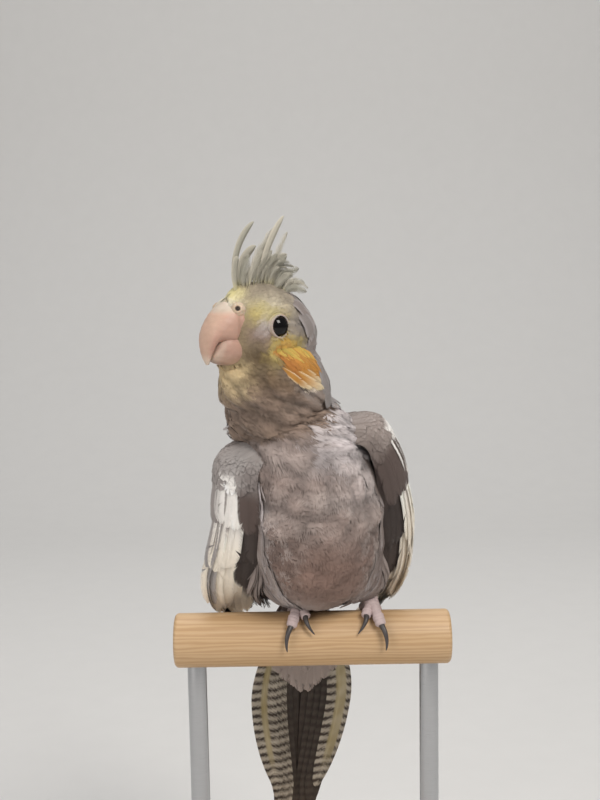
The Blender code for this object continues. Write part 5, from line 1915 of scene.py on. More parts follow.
@dataclass
class Wing:
    """A folded wing: a closed bed that follows three lines, with tiers of vanes laid over it."""

    pose: Pose
    side: Side
    dark_edge: float
    lobe_edge: float
    white_edges: Pair
    leading: Rows = (
        (10, -13, 62), (17.5, -18, 56.5), (21, -17, 45), (21.6, -13, 33), (21, -8, 21),
        (20, 0, 9.5), (19, 14.5, -2), (16.5, 27, -13), (13, 37.5, -24), (9, 47, -34),
    )
    outer: Rows = (
        (13, -4, 66.5), (26, -7.5, 63.5), (30.5, -6, 53), (32, -3, 40.5), (32.4, 0.5, 28),
        (31.5, 5, 15), (28.5, 15, 1.5), (23, 28, -10.5), (16, 39.5, -22), (9, 49, -34),
    )
    trailing: Rows = (
        (7, 5, 66), (9.5, 11, 61.5), (11.5, 18, 52.5), (11, 23.5, 41), (9.5, 28, 28.5),
        (8, 32.5, 15), (6.5, 37.5, 2), (4.5, 43, -10.5), (3, 48, -22.5), (2.5, 51, -34),
    )
    spread: Rows = (
        (0, 0, 0), (-1.5, 0.6, 1), (-2, 0.6, 2), (-1.5, 1.8, 3), (-0.5, 3.8, 3.2),
        (1, 6.4, 3), (2, 6, 2.4), (1.5, 3.4, 1.5), (0.6, 1.2, 0.6), (0, 0, 0),
    )
    bed_rows: Rows = (
        (0.0, 1.2, 1.6), (0.06, 2.0, 3.2), (0.12, 2.6, 4.0), (0.25, 3.8, 4.2), (0.38, 4.4, 4.0),
        (0.48, 5.0, 3.2), (0.56, 5.4, 1.6), (0.60, 5.6, 0.5),
    )
    stations: int = 73

    def __post_init__(self) -> None:
        """Lays out the three lines of this side."""
        lines = np.array([through(row, self.stations) for row in (self.leading, self.outer, self.trailing)])
        if self.side is Side.RIGHT:
            lines[..., 0] += through(self.spread, self.stations).T
        else:
            lines[..., 2] -= 3.0 * bell(np.linspace(0, 1, self.stations), 0.15)
        lines[..., 0] *= self.side.value
        self.lines = lines * MM

    def sheet(self, s: Array, t: Array) -> Array:
        """The wing's outer surface: across it, a parabola through leading, outer and trailing line.

        Args:
            s: place from the shoulder at 0 to the wing's tip at 1.
            t: place from the leading edge at 0 to the trailing edge at 1.

        Returns:
            Points of the body frame.
        """
        at, part = station(s, self.stations)
        part = part[..., None]
        lead, outer, trail = self.lines[:, at] * (1 - part) + self.lines[:, at + 1] * part
        t = t[..., None]
        return lead * (1 - t) * (1 - 2 * t) + outer * 4 * t * (1 - t) + trail * t * (2 * t - 1)

    def point(self, s: Array, t: Array, depth: Array) -> Array:
        """Goes in from the outer surface against its normal.

        Args:
            s: place from the shoulder at 0 to the wing's tip at 1.
            t: place from the leading edge at 0 to the trailing edge at 1.
            depth: how far under the outer surface.

        Returns:
            Points of the body frame.
        """
        s, t, depth = np.broadcast_arrays(np.asarray(s, float), t, depth)
        step = 0.01
        down = self.sheet(s + step, t) - self.sheet(s - step, t)
        over = self.sheet(s, t + step) - self.sheet(s, t - step)
        out = unit(np.cross(over, down))
        middle = self.lines[1].mean(0) - self.lines[[0, 2]].mean((0, 1))
        out = out * np.sign((np.cross(over, down) @ middle).sum())
        return self.sheet(s, t) - out * depth[..., None]

    def bed(self) -> Piece:
        """Makes the closed core: an outer face under the feathers and an inner one, thin at both edges.

        Returns:
            The piece, which stands for the wing's solid.
        """
        rows = through(self.bed_rows, 48)
        s, cover, thick = rows[:, 0:1], rows[:, 1:2] * MM, rows[:, 2:3] * MM
        t = np.linspace(0.05, 0.95, 30)[None]
        profile = 0.06 + 0.94 * np.sqrt(np.clip(np.sin(np.pi * (t - 0.05) / 0.9), 0, 1))
        face = self.point(s, t, cover + 0.6 * MM * (1 - profile))
        back = self.point(s, t, cover + 0.6 * MM * (1 - profile) + thick * profile)
        rings = close_ends(np.concatenate([face, back[:, ::-1]], 1))
        if self.side is Side.LEFT:
            rings = rings[:, ::-1]
        piece = tube("wing_bed_" + self.side.label, self.pose.body(rings))
        half = np.stack(np.broadcast_arrays(s, t), -1)
        both = np.concatenate([half, half[:, ::-1]], 1)
        if self.side is Side.LEFT:
            both = both[:, ::-1]
        # The wing's colours at 0.6: painted shade under the feathers.
        paint(piece, self.shade(both[..., 0], both[..., 1]) * 0.6)
        return wear(piece, UNDERSKIN, "wing_plumage", "wing_" + self.side.label)

    def shade(self, s: Array, t: Array) -> Array:
        """Colour at a place on the wing: grey shoulder, dark front, pale patch and greyer back.

        Args:
            s: place from the shoulder at 0 to the wing's tip at 1.
            t: place from the leading edge at 0 to the trailing edge at 1.

        Returns:
            A colour for each place.
        """
        spot = np.stack([s * 6, t * 34, np.full_like(s, self.side.value * 3.0)], -1)
        streak = ripple(spot, 3.0, 71)
        broad = ripple(spot * (2.0, 0.4, 1.0), 6.0, 72)
        near, depth = (Shade.ASH, 0.4) if self.side is Side.RIGHT else (Shade.TAUPE, 1.0)
        back = blend(Shade.BODY_DARK, Shade.BODY, (0.5 + 0.5 * broad) * depth)
        low = np.where(s < 0.325, self.lobe_edge, self.dark_edge) * (1 - 0.8 * ease(s, 0.50, 0.62))
        upper, lower = self.white_edges
        high = upper + (lower - upper) * ease(s, 0.26, 0.38) + 0.03 * streak
        white = ease(s, 0.135, 0.16) * ease(t - low, -0.012, 0.012) * ease(high - t, -0.02, 0.02)
        white = white * (1 - 0.25 * np.clip(streak, 0, 1) * ease(t, 0.36, 0.5))
        fleck = ease(np.abs(t - high), 0.03, 0.0) * ease(streak, 0.2, 0.7) * ease(s, 0.2, 0.3)
        dark = ease(s, 0.17, 0.21) * ease(low - t, -0.012, 0.012) * ease(-s, -0.635, -0.615)
        slate = blend(Shade.SLATE, Shade.DARK, 0.5 + 0.4 * streak)
        return layers(
            blend(near, Shade.BODY_PALE, 0.35 + 0.3 * broad),
            (Shade.LOBE, 0.55 * ease(s, 0.06, 0.15) * ease(-t, -0.16, -0.06)),
            (back, ease(t, 0.5, 0.72)),
            (blend(Shade.WHITE, Shade.CREAM, ease(s, 0.25, 0.5)), white),
            (Shade.SLATE, 0.7 * fleck),
            (Shade.CREAM, ease(s, 0.615, 0.64) * ease(high - t, -0.02, 0.02)),
            (blend(Shade.LOBE, slate, ease(s, 0.325, 0.345)), dark),
        )

    def feathers(self, tier: Tier, seed: int) -> Plumes:
        """Lays out one tier's feathers and keeps their places s, t for the markings.

        Args:
            tier: the row of feathers.
            seed: source of chance.

        Returns:
            The feathers, ready to be built.
        """
        draw = np.random.default_rng(seed)
        share = np.linspace(0, 1, tier.count)
        first = tier.first + (tier.last - tier.first) * share + draw.uniform(-0.006, 0.006, tier.count)
        root = tier.root[0] + (tier.root[1] - tier.root[0]) * share
        tip = tier.tip[0] + (tier.tip[1] - tier.tip[0]) * share
        tip = tip + draw.uniform(-1, 1, tier.count) * tier.uneven
        along = np.linspace(0, 1, 13)[None]
        s = root[:, None] + (tip - root)[:, None] * along
        t = np.broadcast_to(first[:, None], s.shape) + draw.normal(0, 0.006, (tier.count, 1)) * along
        depth = (tier.depth[0] + (tier.depth[1] - tier.depth[0]) * along**0.8) * MM
        depth = depth + draw.uniform(-0.12, 0.12, (tier.count, 1)) * MM
        middle = self.pose.body(self.point(s, t, depth))
        across = unit(self.pose.body(self.point(s, t + 0.02, depth)) - middle)
        outward = unit(self.pose.body(self.point(s, t, depth - 0.5 * MM)) - middle)
        half = tier.half * MM * draw.uniform(0.92, 1.08, tier.count)
        self.places = (s, t)
        flat = 0.35 if tier.half < 3 else 1.0
        return Plumes(
            middle, across, outward, half, blunt=tier.blunt, camber=0.35 * MM * flat, tilt=0.25 * MM * flat,
            smooth=0.65, seed=seed,
        )

    def lay(self, name: str, tiers: list[Tier], seed: int) -> list[Piece]:
        """Makes the pieces of several tiers with their markings.

        Args:
            name: start of the pieces' names.
            tiers: the rows of feathers, from the lowest layer up.
            seed: source of chance for the first tier.

        Returns:
            A piece for each tier.
        """
        pieces = []
        for number, tier in enumerate(tiers):
            plumes = self.feathers(tier, seed + number)
            s, t = self.places
            tone = np.random.default_rng(seed + number).normal(1.0, 0.05, len(s))

            def tint(feather: Array, along: Array, out: Array) -> Array:
                """Colour of a feather's point from its place on the wing.

                Args:
                    feather: number of each point's feather.
                    along: share along it.
                    out: share out from its shaft.

                Returns:
                    A colour for each point.
                """
                at, part = station(along, s.shape[1])
                run = s[feather, at] + (s[feather, at + 1] - s[feather, at]) * part
                base = self.shade(run, t[feather, at] + 0.012 * out)
                edge = ease(np.abs(out), 0.72, 1.0) + ease(along, 0.88, 1.0)
                base = base * (tone[feather] * (1 - 0.10 * bell(out, 0.07)))[..., None]
                return np.clip(base + (1 - base) * (0.09 * edge * base.mean(-1))[..., None], 0, 1)

            piece = plumes.build(f"{name}_{number + 1}_{self.side.label}", tier.barbs, tint)
            pieces.append(wear(piece, FIRM, "wing_plumage"))
        return pieces

    def build(self) -> list[Piece]:
        """Makes bed, primaries, secondaries and coverts, from the lowest layer up.

        Returns:
            The pieces.
        """
        fine, loose, small = Barbs(44, lean=0.10), Barbs(30, lean=0.14), Barbs(9, 2, lean=0.22, cover=1.9)
        edge = self.dark_edge
        tiers = [
            Tier(6, 0.14, 0.44, (0.34, 0.38), (1.0, 0.86), (5.0, 2.0), 3.6, Barbs(70, lean=0.06), 0.86),
            Tier(4, 0.03, edge, (0.40, 0.40), (0.70, 0.70), (4.4, 1.9), 3.2, fine, 0.6),
            Tier(3, 0.05, edge - 0.02, (0.28, 0.28), (0.585, 0.60), (4.0, 1.5), 3.2, fine, 0.6, 0.02),
            Tier(13, edge + 0.04, 0.93, (0.36, 0.34), (0.665, 0.73), (2.8, 0.7), 3.9, fine, 0.78, 0.03),
            Tier(5, 0.04, edge + 0.02, (0.16, 0.18), (0.46, 0.44), (3.2, 1.2), 3.2, fine, 0.78),
            Tier(12, edge + 0.05, 0.94, (0.22, 0.20), (0.50, 0.46), (2.6, 0.4), 3.8, fine, 0.74, 0.03),
            Tier(14, 0.06, 0.94, (0.10, 0.09), (0.325, 0.30), (2.0, 0.1), 3.6, loose, 0.66, 0.01),
        ]
        rows = [
            Tier(19, 0.05, 0.95, (a, a), (a + 0.10, a + 0.095), (1.5, 0.1), 2.4, small, 0.6, 0.014)
            for a in (0.095, 0.075, 0.055, 0.035, 0.015, 0.0)
        ]
        seeds = (80, 120) if self.side is Side.LEFT else (90, 140)
        pieces = [self.bed()] + self.lay("wing_vanes", tiers, seeds[0])
        return pieces + self.lay("shoulder_vanes", rows, seeds[1])


# ---------------------------------------------------------------- tail


@dataclass
class Tail:
    """Twelve long feathers that narrow to a point, barred at the sides, with coverts over and under.

    A pair gives length and distance from the middle in millimetres, the longest pair first; a
    covert gives its place across and its length, and a row of the core its distance down, half
    width, depth under and height over the middle.
    """

    pose: Pose
    root: Triple = (-1.0 * MM, 24.5 * MM, -1.0 * MM)
    tilt: float = math.radians(18)
    bulge: float = 42 * MM
    pairs: Rows = (
        (138, 1.6), (126, 4.6), (115, 7.4), (105, 9.8), (95, 12), (85, 14),
    )
    profile: Rows = (
        (0, 0.55), (0.12, 0.75), (0.28, 1), (0.45, 1), (0.62, 0.92), (0.78, 0.74), (0.91, 0.45), (1, 0.12),
    )
    half: float = 4.5 * MM
    step: float = 0.9 * MM
    bar: float = 3.9
    covert_rows: Rows = (
        (-8.5, 30), (-6, 34), (-3.5, 37), (-1.2, 40), (1.2, 40), (3.5, 37), (6, 34), (8.5, 30),
        (-5, 27), (0, 30), (5, 27.0),
    )
    core_rows: Rows = (
        (-3, 5, 4, 4), (5, 8.5, 6, 5.4), (14, 10.5, 5.8, 4.2), (24, 11, 4.2, 2.2), (36, 8, 1.0, 0.3),
    )

    def point(self, distance: Array, across: Array, height: Array) -> Array:
        """Points of the row frame by their place on the tail.

        Args:
            distance: how far down the tail.
            across: how far to the left of its middle.
            height: how far over its plane.

        Returns:
            The points.
        """
        distance, across, height = np.broadcast_arrays(distance, across, height)
        down = np.array([0.0, math.sin(self.tilt), -math.cos(self.tilt)])
        over = np.array([0.0, math.cos(self.tilt), math.sin(self.tilt)])
        side = np.array([1.0, 0.0, 0.0])
        placed = along_axes(0.0, (down, side, over), distance, across, height)
        return self.pose.body(np.array(self.root) + placed)

    def core(self) -> Piece:
        """Makes the closed root of the tail under its coverts.

        Returns:
            The piece, which stands for the tail's solid.
        """
        rows = through(self.core_rows, 30) * MM
        turn = full_turn(36)
        rise = np.sin(turn)
        height = np.where(rise > 0, rows[:, 3:4], rows[:, 2:3]) * rise - 3 * MM
        rings = close_ends(self.point(rows[:, 0:1], rows[:, 1:2] * np.cos(turn), height))
        piece = tube("tail_core", rings[:, ::-1])
        # Dark grey at 0.7: painted shade under the coverts.
        paint(piece, np.broadcast_to(Shade.BODY_DARK * 0.7, rings.shape))
        return wear(piece, UNDERSKIN, "tail_plumage", "tail")

    def feathers(self) -> tuple[Plumes, Array, Array]:
        """Lays out the long feathers, each pair under the one inside it.

        Returns:
            The feathers, and the side and the pair of each.
        """
        pair = np.repeat(np.arange(6), 2)
        side = np.tile([1.0, -1.0], 6)
        length, bow = np.array(self.pairs)[pair].T * MM
        share = np.linspace(0, 1, 25)[None]
        distance = 4 * MM + (length[:, None] - 4 * MM) * share
        spread = np.sin(np.pi * np.clip(distance / (2 * self.bulge), 0, 1)) * 0.62 + 0.38
        closing = spread * 0.5 + 0.5 - 0.004 * (distance - self.bulge) / MM
        spread = np.where(distance > self.bulge, closing, spread)
        width = np.interp(share, *np.array(self.profile).T) * self.half
        apart = np.where(pair[:, None] > 0, width + 0.3 * MM, 0)
        across = side[:, None] * np.maximum(bow[:, None] * spread, apart)
        level = -self.step * (pair[:, None] + 1)
        level = level + np.where(pair[:, None] == 0, self.step * (side[:, None] > 0), 0)
        middle = self.point(distance, across, level)
        ahead = unit(self.point(distance, across + 0.5 * MM, level) - middle)
        under = unit(self.point(distance, across, level - 0.5 * MM) - middle)
        plumes = Plumes(
            middle, ahead, under, np.full(12, self.half * 1.02), blunt=0.55, base=0.5,
            camber=0.35 * MM, tilt=0.0, split=0.006, seed=151,
        )
        return plumes, side, pair

    def build(self) -> list[Piece]:
        """Makes core, long feathers and coverts."""
        vanes = self.vanes()
        return [self.core(), vanes, self.coverts("over", 1), self.coverts("under", -1)]

    def vanes(self) -> Piece:
        """Makes the long feathers: dark slate in the middle, barred at the sides.

        Returns:
            The piece.
        """
        plumes, side, pair = self.feathers()
        length = np.array(self.pairs)[pair, 0]

        def tint(feather: Array, along: Array, out: Array) -> Array:
            """Bars at the sides; the last pair is pale along its middle.

            Args:
                feather: number of each point's feather.
                along: share along it.
                out: share out from its shaft.

            Returns:
                A colour for each point.
            """
            spot = np.stack([along * 30, out * 2, feather * 3.0], -1)
            rough = ripple(spot, 2.4, 152)
            outward = out * side[feather]
            way = along * length[feather] - 0.8 * np.abs(out) + 0.25 * rough
            bars = ease(np.sin(2 * math.pi * way / self.bar), -0.35, 0.05)
            pale = blend(Shade.OLIVE, Shade.CREAM, 0.15 + 0.15 * rough)
            light = blend(blend(Shade.ASH, Shade.OLIVE, 0.35), Shade.CREAM, 0.3 + 0.2 * rough)
            slate = blend(Shade.DARK, Shade.SLATE, 0.55 + 0.45 * rough)
            barred = blend(slate, light, bars)
            last = np.where(side[feather] < 0, 0.34, 0.62)
            stripe = ease(outward, -0.30, -0.24) * ease(last - outward, 0.0, 0.06) * (pair[feather] == 5)
            web = blend(barred, pale, stripe * ease(-along, -0.9, -0.74))
            reach = np.where(side[feather] < 0, 2.6, 4.6)
            shade = layers(
                blend(slate * 0.8, barred, 0.06),
                (web, ease(pair[feather] + 0.3 * outward, reach - 0.3, reach + 0.1)),
                (slate, 0.8 * ease(-pair[feather], -1.6, -0.6)),
            )
            return np.clip(shade * (0.80 + 0.12 * bell(out, 0.05)[..., None]), 0, 1)

        vanes = plumes.build("tail_vanes", Barbs(110, 7, lean=0.03, cover=1.6, fray=0.6), tint)
        return wear(vanes, FIRM, "tail_plumage")

    def coverts(self, name: str, way: int) -> Piece:
        """Makes the short feathers over or under the tail's root.

        Args:
            name: end of the piece's name.
            way: 1 over the tail, -1 under it.

        Returns:
            The piece.
        """
        places, far = np.array(self.covert_rows).T
        share = np.linspace(0, 1, 11)[None]
        distance = (2 + (far[:, None] * (1 if way > 0 else 0.9) - 2) * share) * MM
        start, end = (1.6, 1.6) if way > 0 else (-7.6, -8.4)
        level = (start + (end - start) * share + way * np.linspace(0, 0.9, 11)[:, None]) * MM
        across = places[:, None] * MM * (0.75 + 0.4 * share)
        middle = self.point(distance, across, level)
        side_way = unit(self.point(distance, across + 0.5 * MM, level) - middle)
        out_way = unit(self.point(distance, across, level + way * 0.5 * MM) - middle)
        plumes = Plumes(middle, side_way, out_way, np.full(11, 3.8 * MM), blunt=0.6, seed=155)
        base = Shade.BODY if way > 0 else Shade.BODY_PALE

        def tint(feather: Array, along: Array, out: Array) -> Array:
            """Grey with a paler fringe."""
            edge = ease(np.abs(out), 0.6, 1) * 0.12 + ease(along, 0.8, 1) * 0.12
            return base * (0.86 + edge + 0.02 * (feather % 3))[..., None]

        piece = plumes.build("tail_coverts_" + name, Barbs(34, lean=0.14), tint)
        return wear(piece, FIRM, "tail_plumage")


# ---------------------------------------------------------------- crest


@dataclass
class Crest:
    """Loose feathers that stand up from the crown, curved back, with open barbs.

    A row gives root f and l, bend f and u, tip f and u, half width and how open the barbs are.
    The middle line is the parabola through root, bend and tip.
    """

    pose: Pose
    rows: Rows = (
        (12.4, 0.0, 15.2, 21.5, 11.2, 32.4, 1.25, 0), (12.9, 1.0, 15.4, 15.5, 15.4, 20.0, 1.3, 0),
        (11.6, -0.8, 12.0, 18.5, 7.8, 25.6, 1.5, 0), (10.8, 1.6, 11.6, 13.8, 9.8, 17.8, 1.4, 1),
        (9.6, 2.0, 10.0, 15.5, 7.2, 20.4, 1.5, 1), (7.6, 0.2, 7.8, 20.5, 4.6, 29.0, 1.7, 1),
        (5.0, -1.6, 4.6, 22.0, 1.8, 33.0, 1.6, 1), (3.6, 0.6, 4.4, 24.5, 0.6, 37.4, 1.3, 0),
        (3.4, 2.8, 4.6, 18.6, 2.4, 24.4, 1.8, 1), (6.0, 2.4, 6.8, 16.2, 4.8, 20.8, 1.7, 1),
        (1.6, -2.6, 1.8, 19.0, -0.6, 26.5, 1.7, 1), (0.8, 1.4, 1.2, 22.0, -1.2, 32.6, 1.6, 1),
        (-0.8, -1.2, -1.4, 20.0, -5.6, 26.0, 2.1, 0), (-2.6, 1.8, -3.8, 18.6, -8.4, 22.4, 1.9, 1),
        (-5.2, 0.2, -7.6, 17.2, -13.6, 18.9, 1.9, 1), (-5.6, -2.6, -8.2, 16.0, -14.0, 16.6, 1.8, 1),
        (-3.2, -2.4, -4.6, 17.4, -9.8, 20.2, 1.7, 1), (-4.2, 2.6, -6.2, 15.6, -12.6, 15.8, 1.6, 1),
        (8.6, -2.2, 8.6, 15.0, 6.0, 19.4, 1.5, 1), (0.2, 3.4, -0.6, 16.0, -4.0, 19.6, 1.6, 1),
    )
    crown: Rows = (
        (-13.2, 10.2), (-6.8, 13.2), (0, 14.8), (6, 14.4), (10.4, 12.8), (13.4, 10.2), (15.2, 6.8),
    )
    sunk: float = 1.8

    def down(self) -> Array:
        """Draws the short fluffy feathers between the long ones by chance over the crown.

        Returns:
            Their rows.
        """
        draw = np.random.default_rng(162)
        f = draw.uniform(-7.0, 12.0, 54)
        l = draw.uniform(-3.8, 3.8, 54)
        tall = draw.uniform(3.5, 11.5, 54) * (1 - 0.02 * np.abs(f - 5))
        back = tall * (0.45 + 0.05 * (6 - f)) * draw.uniform(0.4, 1.25, 54)
        crown = np.interp(f, *np.array(self.crown).T)
        bend = np.column_stack([f - draw.uniform(0.0, 0.4, 54) * back, crown + 0.62 * tall])
        tip = np.column_stack([f - back, crown + tall * (1.05 - 0.04 * (6 - f))])
        return np.column_stack([f, l, bend, tip, draw.uniform(0.8, 1.7, 54), np.ones(54)])

    def build(self) -> list[Piece]:
        """Makes closed and open feathers.

        Returns:
            A piece for each kind.
        """
        rows = np.vstack([self.rows, self.down()])
        height = np.interp(rows[:, 0], *np.array(self.crown).T) - self.sunk
        start = np.column_stack([rows[:, 0], rows[:, 1], height])
        bend = np.column_stack([rows[:, 2], rows[:, 1] * 1.15, rows[:, 3]])
        end = np.column_stack([rows[:, 4], rows[:, 1] * 1.3, rows[:, 5]])
        share = np.linspace(0, 1, 17)[None, :, None]
        path = parabola(start[:, None], bend[:, None], end[:, None], share)
        ahead = unit(np.gradient(path, axis=1))
        flat = unit(np.cross([0.0, 1.0, 0.0], ahead))
        twist = np.random.default_rng(163).uniform(-1.1, 1.1, len(rows) - len(self.rows))
        turn = np.concatenate([np.zeros(len(self.rows)), twist])
        flat = flat * np.cos(turn)[:, None, None] + np.cross(ahead, flat) * np.sin(turn)[:, None, None]
        outward = np.cross(ahead, flat)
        axes = self.pose.head_axes()
        pieces = []
        for name, open_barbs in (("crest_quills", 0), ("crest_plumes", 1)):
            some = rows[:, 7] == open_barbs
            plumes = Plumes(
                self.pose.head(path[some] * MM), flat[some] @ axes, outward[some] @ axes, rows[some, 6] * MM,
                blunt=0.7, base=0.55, camber=0.5 * MM, tilt=0.12 * MM,
                split=0.03 if open_barbs else 0.004, seed=161 + open_barbs,
            )
            barbs = (
                Barbs(30, 4, lean=0.26, cover=0.95, fray=0.2, start=0.1, shaft=0.12)
                if open_barbs
                else Barbs(60, 3, lean=0.08, cover=1.8, fray=0.8, shaft=0.2)
            )

            def tint(feather: Array, along: Array, out: Array) -> Array:
                """Pale olive grey, yellower and paler at the edges, darker on one web.

                Args:
                    feather: number of each point's feather.
                    along: share along it.
                    out: share out from its shaft.

                Returns:
                    A colour for each point.
                """
                rim = 0.08 * (feather % 4) + 0.3 * ease(np.abs(out), 0.4, 1.0)
                base = blend(Shade.CREST, Shade.CREAM, rim)
                base = blend(base, Shade.FACE_YELLOW, 0.4 * ease(-along, -0.3, -0.05))
                dark = 0.5 * ease(-out, 0.2, 0.5) * (1 - open_barbs) + 0.08 * (feather % 3)
                return np.clip(base * (1 - 0.45 * dark)[..., None], 0, 1)

            nodes = ("crest",) if open_barbs else ()
            pieces.append(wear(plumes.build(name, barbs, tint), FIRM, "crest_plumage", *nodes))
        return pieces


# ---------------------------------------------------------------- bill, eyes and cere


@dataclass
class Bill:
    """Upper and lower bill: rings hung between an outer and an inner edge of the middle plane.

    A row gives outer f and u, inner f and u, and half width, from the root to the tip.
    A ring's point at turn a is middle + reach * cos(a) in the plane and width * sin(a) across,
    squarer where it faces the mouth.
    """

    pose: Pose
    upper: Rows = (
        (8, 5.4, 6, -3.6, 5.2), (13.4, 6.6, 8, -5.0, 6.6), (16.4, 5.2, 10.4, -6.4, 6.8),
        (18.7, 2.2, 12.8, -7.2, 6.4), (20.1, -1.8, 15.5, -7.2, 5.7), (20.7, -5.8, 17.3, -8.0, 4.7),
        (20.3, -9.8, 17.7, -10.4, 3.4), (19.2, -12.9, 17.6, -12.8, 2.0), (17.8, -15.0, 17.3, -14.9, 0.7),
    )
    lower: Rows = (
        (4, -11, 5, -2.6, 4.6), (7, -12.4, 7.2, -2.4, 5.6), (10, -13.4, 9.6, -2.8, 6.1),
        (12.8, -13.9, 11.8, -3.4, 6.1), (15.1, -13.8, 14.4, -4.2, 5.6), (16.9, -13.2, 16.4, -6.0, 4.5),
        (17.5, -12.4, 17.3, -8.4, 2.9),
    )
    rings: int = 72
    sides: int = 64

    def sheath(self, rows: Rows, count: int, sides: int) -> tuple[Array, Array]:
        """Lays rings along one half.

        Args:
            rows: its edges and half widths.
            count: how many rings.
            sides: points of a ring.

        Returns:
            The rings in the head frame, in millimetres, and their turns.
        """
        rows = through(rows, count)
        outer, inner, width = rows[:, 0:2], rows[:, 2:4], rows[:, 4]
        middle, reach = (outer + inner) / 2, (outer - inner) / 2
        turn = full_turn(sides)
        flat = middle[:, None] + reach[:, None] * np.cos(turn)[:, None]
        power = 1.0 - 0.5 * ease(-np.cos(turn), -0.1, 0.2)
        across = width[:, None] * np.sign(np.sin(turn)) * np.abs(np.sin(turn)) ** power
        return np.stack([flat[..., 0], across, flat[..., 1]], 2), np.broadcast_to(turn, flat.shape[:2])

    def build(self) -> list[Piece]:
        """Makes both halves, with faint growth rings and a step at the upper one's root.

        Returns:
            The two pieces.
        """
        pieces = []
        for name, rows in (("upper", self.upper), ("lower", self.lower)):
            rings, turn = self.sheath(rows, self.rings, self.sides)
            f, _, u = np.moveaxis(rings, -1, 0)
            groove = 0.04 * np.sin(u * 3.1 + 2 * ripple(rings, 5.0, 171)) * ease(np.cos(turn), -0.5, 0.3)
            if name == "upper":
                groove = groove - 0.35 * bell(f - 14.2 - 0.35 * (u - 3), 0.8)
            out = unit(rings - rings.mean(1, keepdims=True)) * groove[..., None]
            rings = rings + out * ease(np.arange(self.rings), 0, 4)[:, None, None]
            piece = tube("bill_" + name + "_horn", self.pose.head(close_ends(rings) * MM))
            base = mottle(Shade.HORN, Shade.HORN_ROSE, rings, 9.0, 172)
            paint(piece, self.shade(name == "upper", base, f, u, turn))
            pieces.append(wear(piece, Horn("bill_horn"), "pink_horn", "bill_" + name))
        return pieces

    def shade(self, upper: bool, base: Array, f: Array, u: Array, turn: Array) -> Array:
        """Horn that is paler at the tip, with a painted highlight along the ridge and painted shade towards
        the mouth; the lower half carries painted shade overall, darkest underneath.

        Args:
            upper: whether this is the upper half.
            base: the horn's own colour for each point.
            f: the points' places forward in the head frame, in millimetres.
            u: their places up.
            turn: their turns round the ring.

        Returns:
            A colour for each point.
        """
        tip = ease(-u, 11.5, 14.0) if upper else 0.5 * ease(f, 15, 16.4)
        shade = layers(
            base,
            # A paler ridge: painted highlight.
            (Shade.HORN_RIDGE_HIGHLIGHT, 0.6 * ease(np.cos(turn), 0.3, 0.95)),
            (Shade.HORN_TIP, 0.55 * tip),
        )
        if upper:
            shade = blend(shade, Shade.HORN_ROOT, 0.9 * ease(u - 0.3 * (17 - f), 1.2, 2.6))
        # Darker towards the mouth: painted shade where the halves meet.
        shade = blend(shade, Shade.HORN_MOUTH_SHADE, 0.25 * ease(-np.cos(turn), 0.8, 0.98))
        if upper:
            return shade
        # The lower half at 0.93 and darker underneath: painted shade.
        return blend(shade * 0.93, Shade.HORN_CHIN_SHADE, 0.5 * ease(-u, 12.6, 13.8))


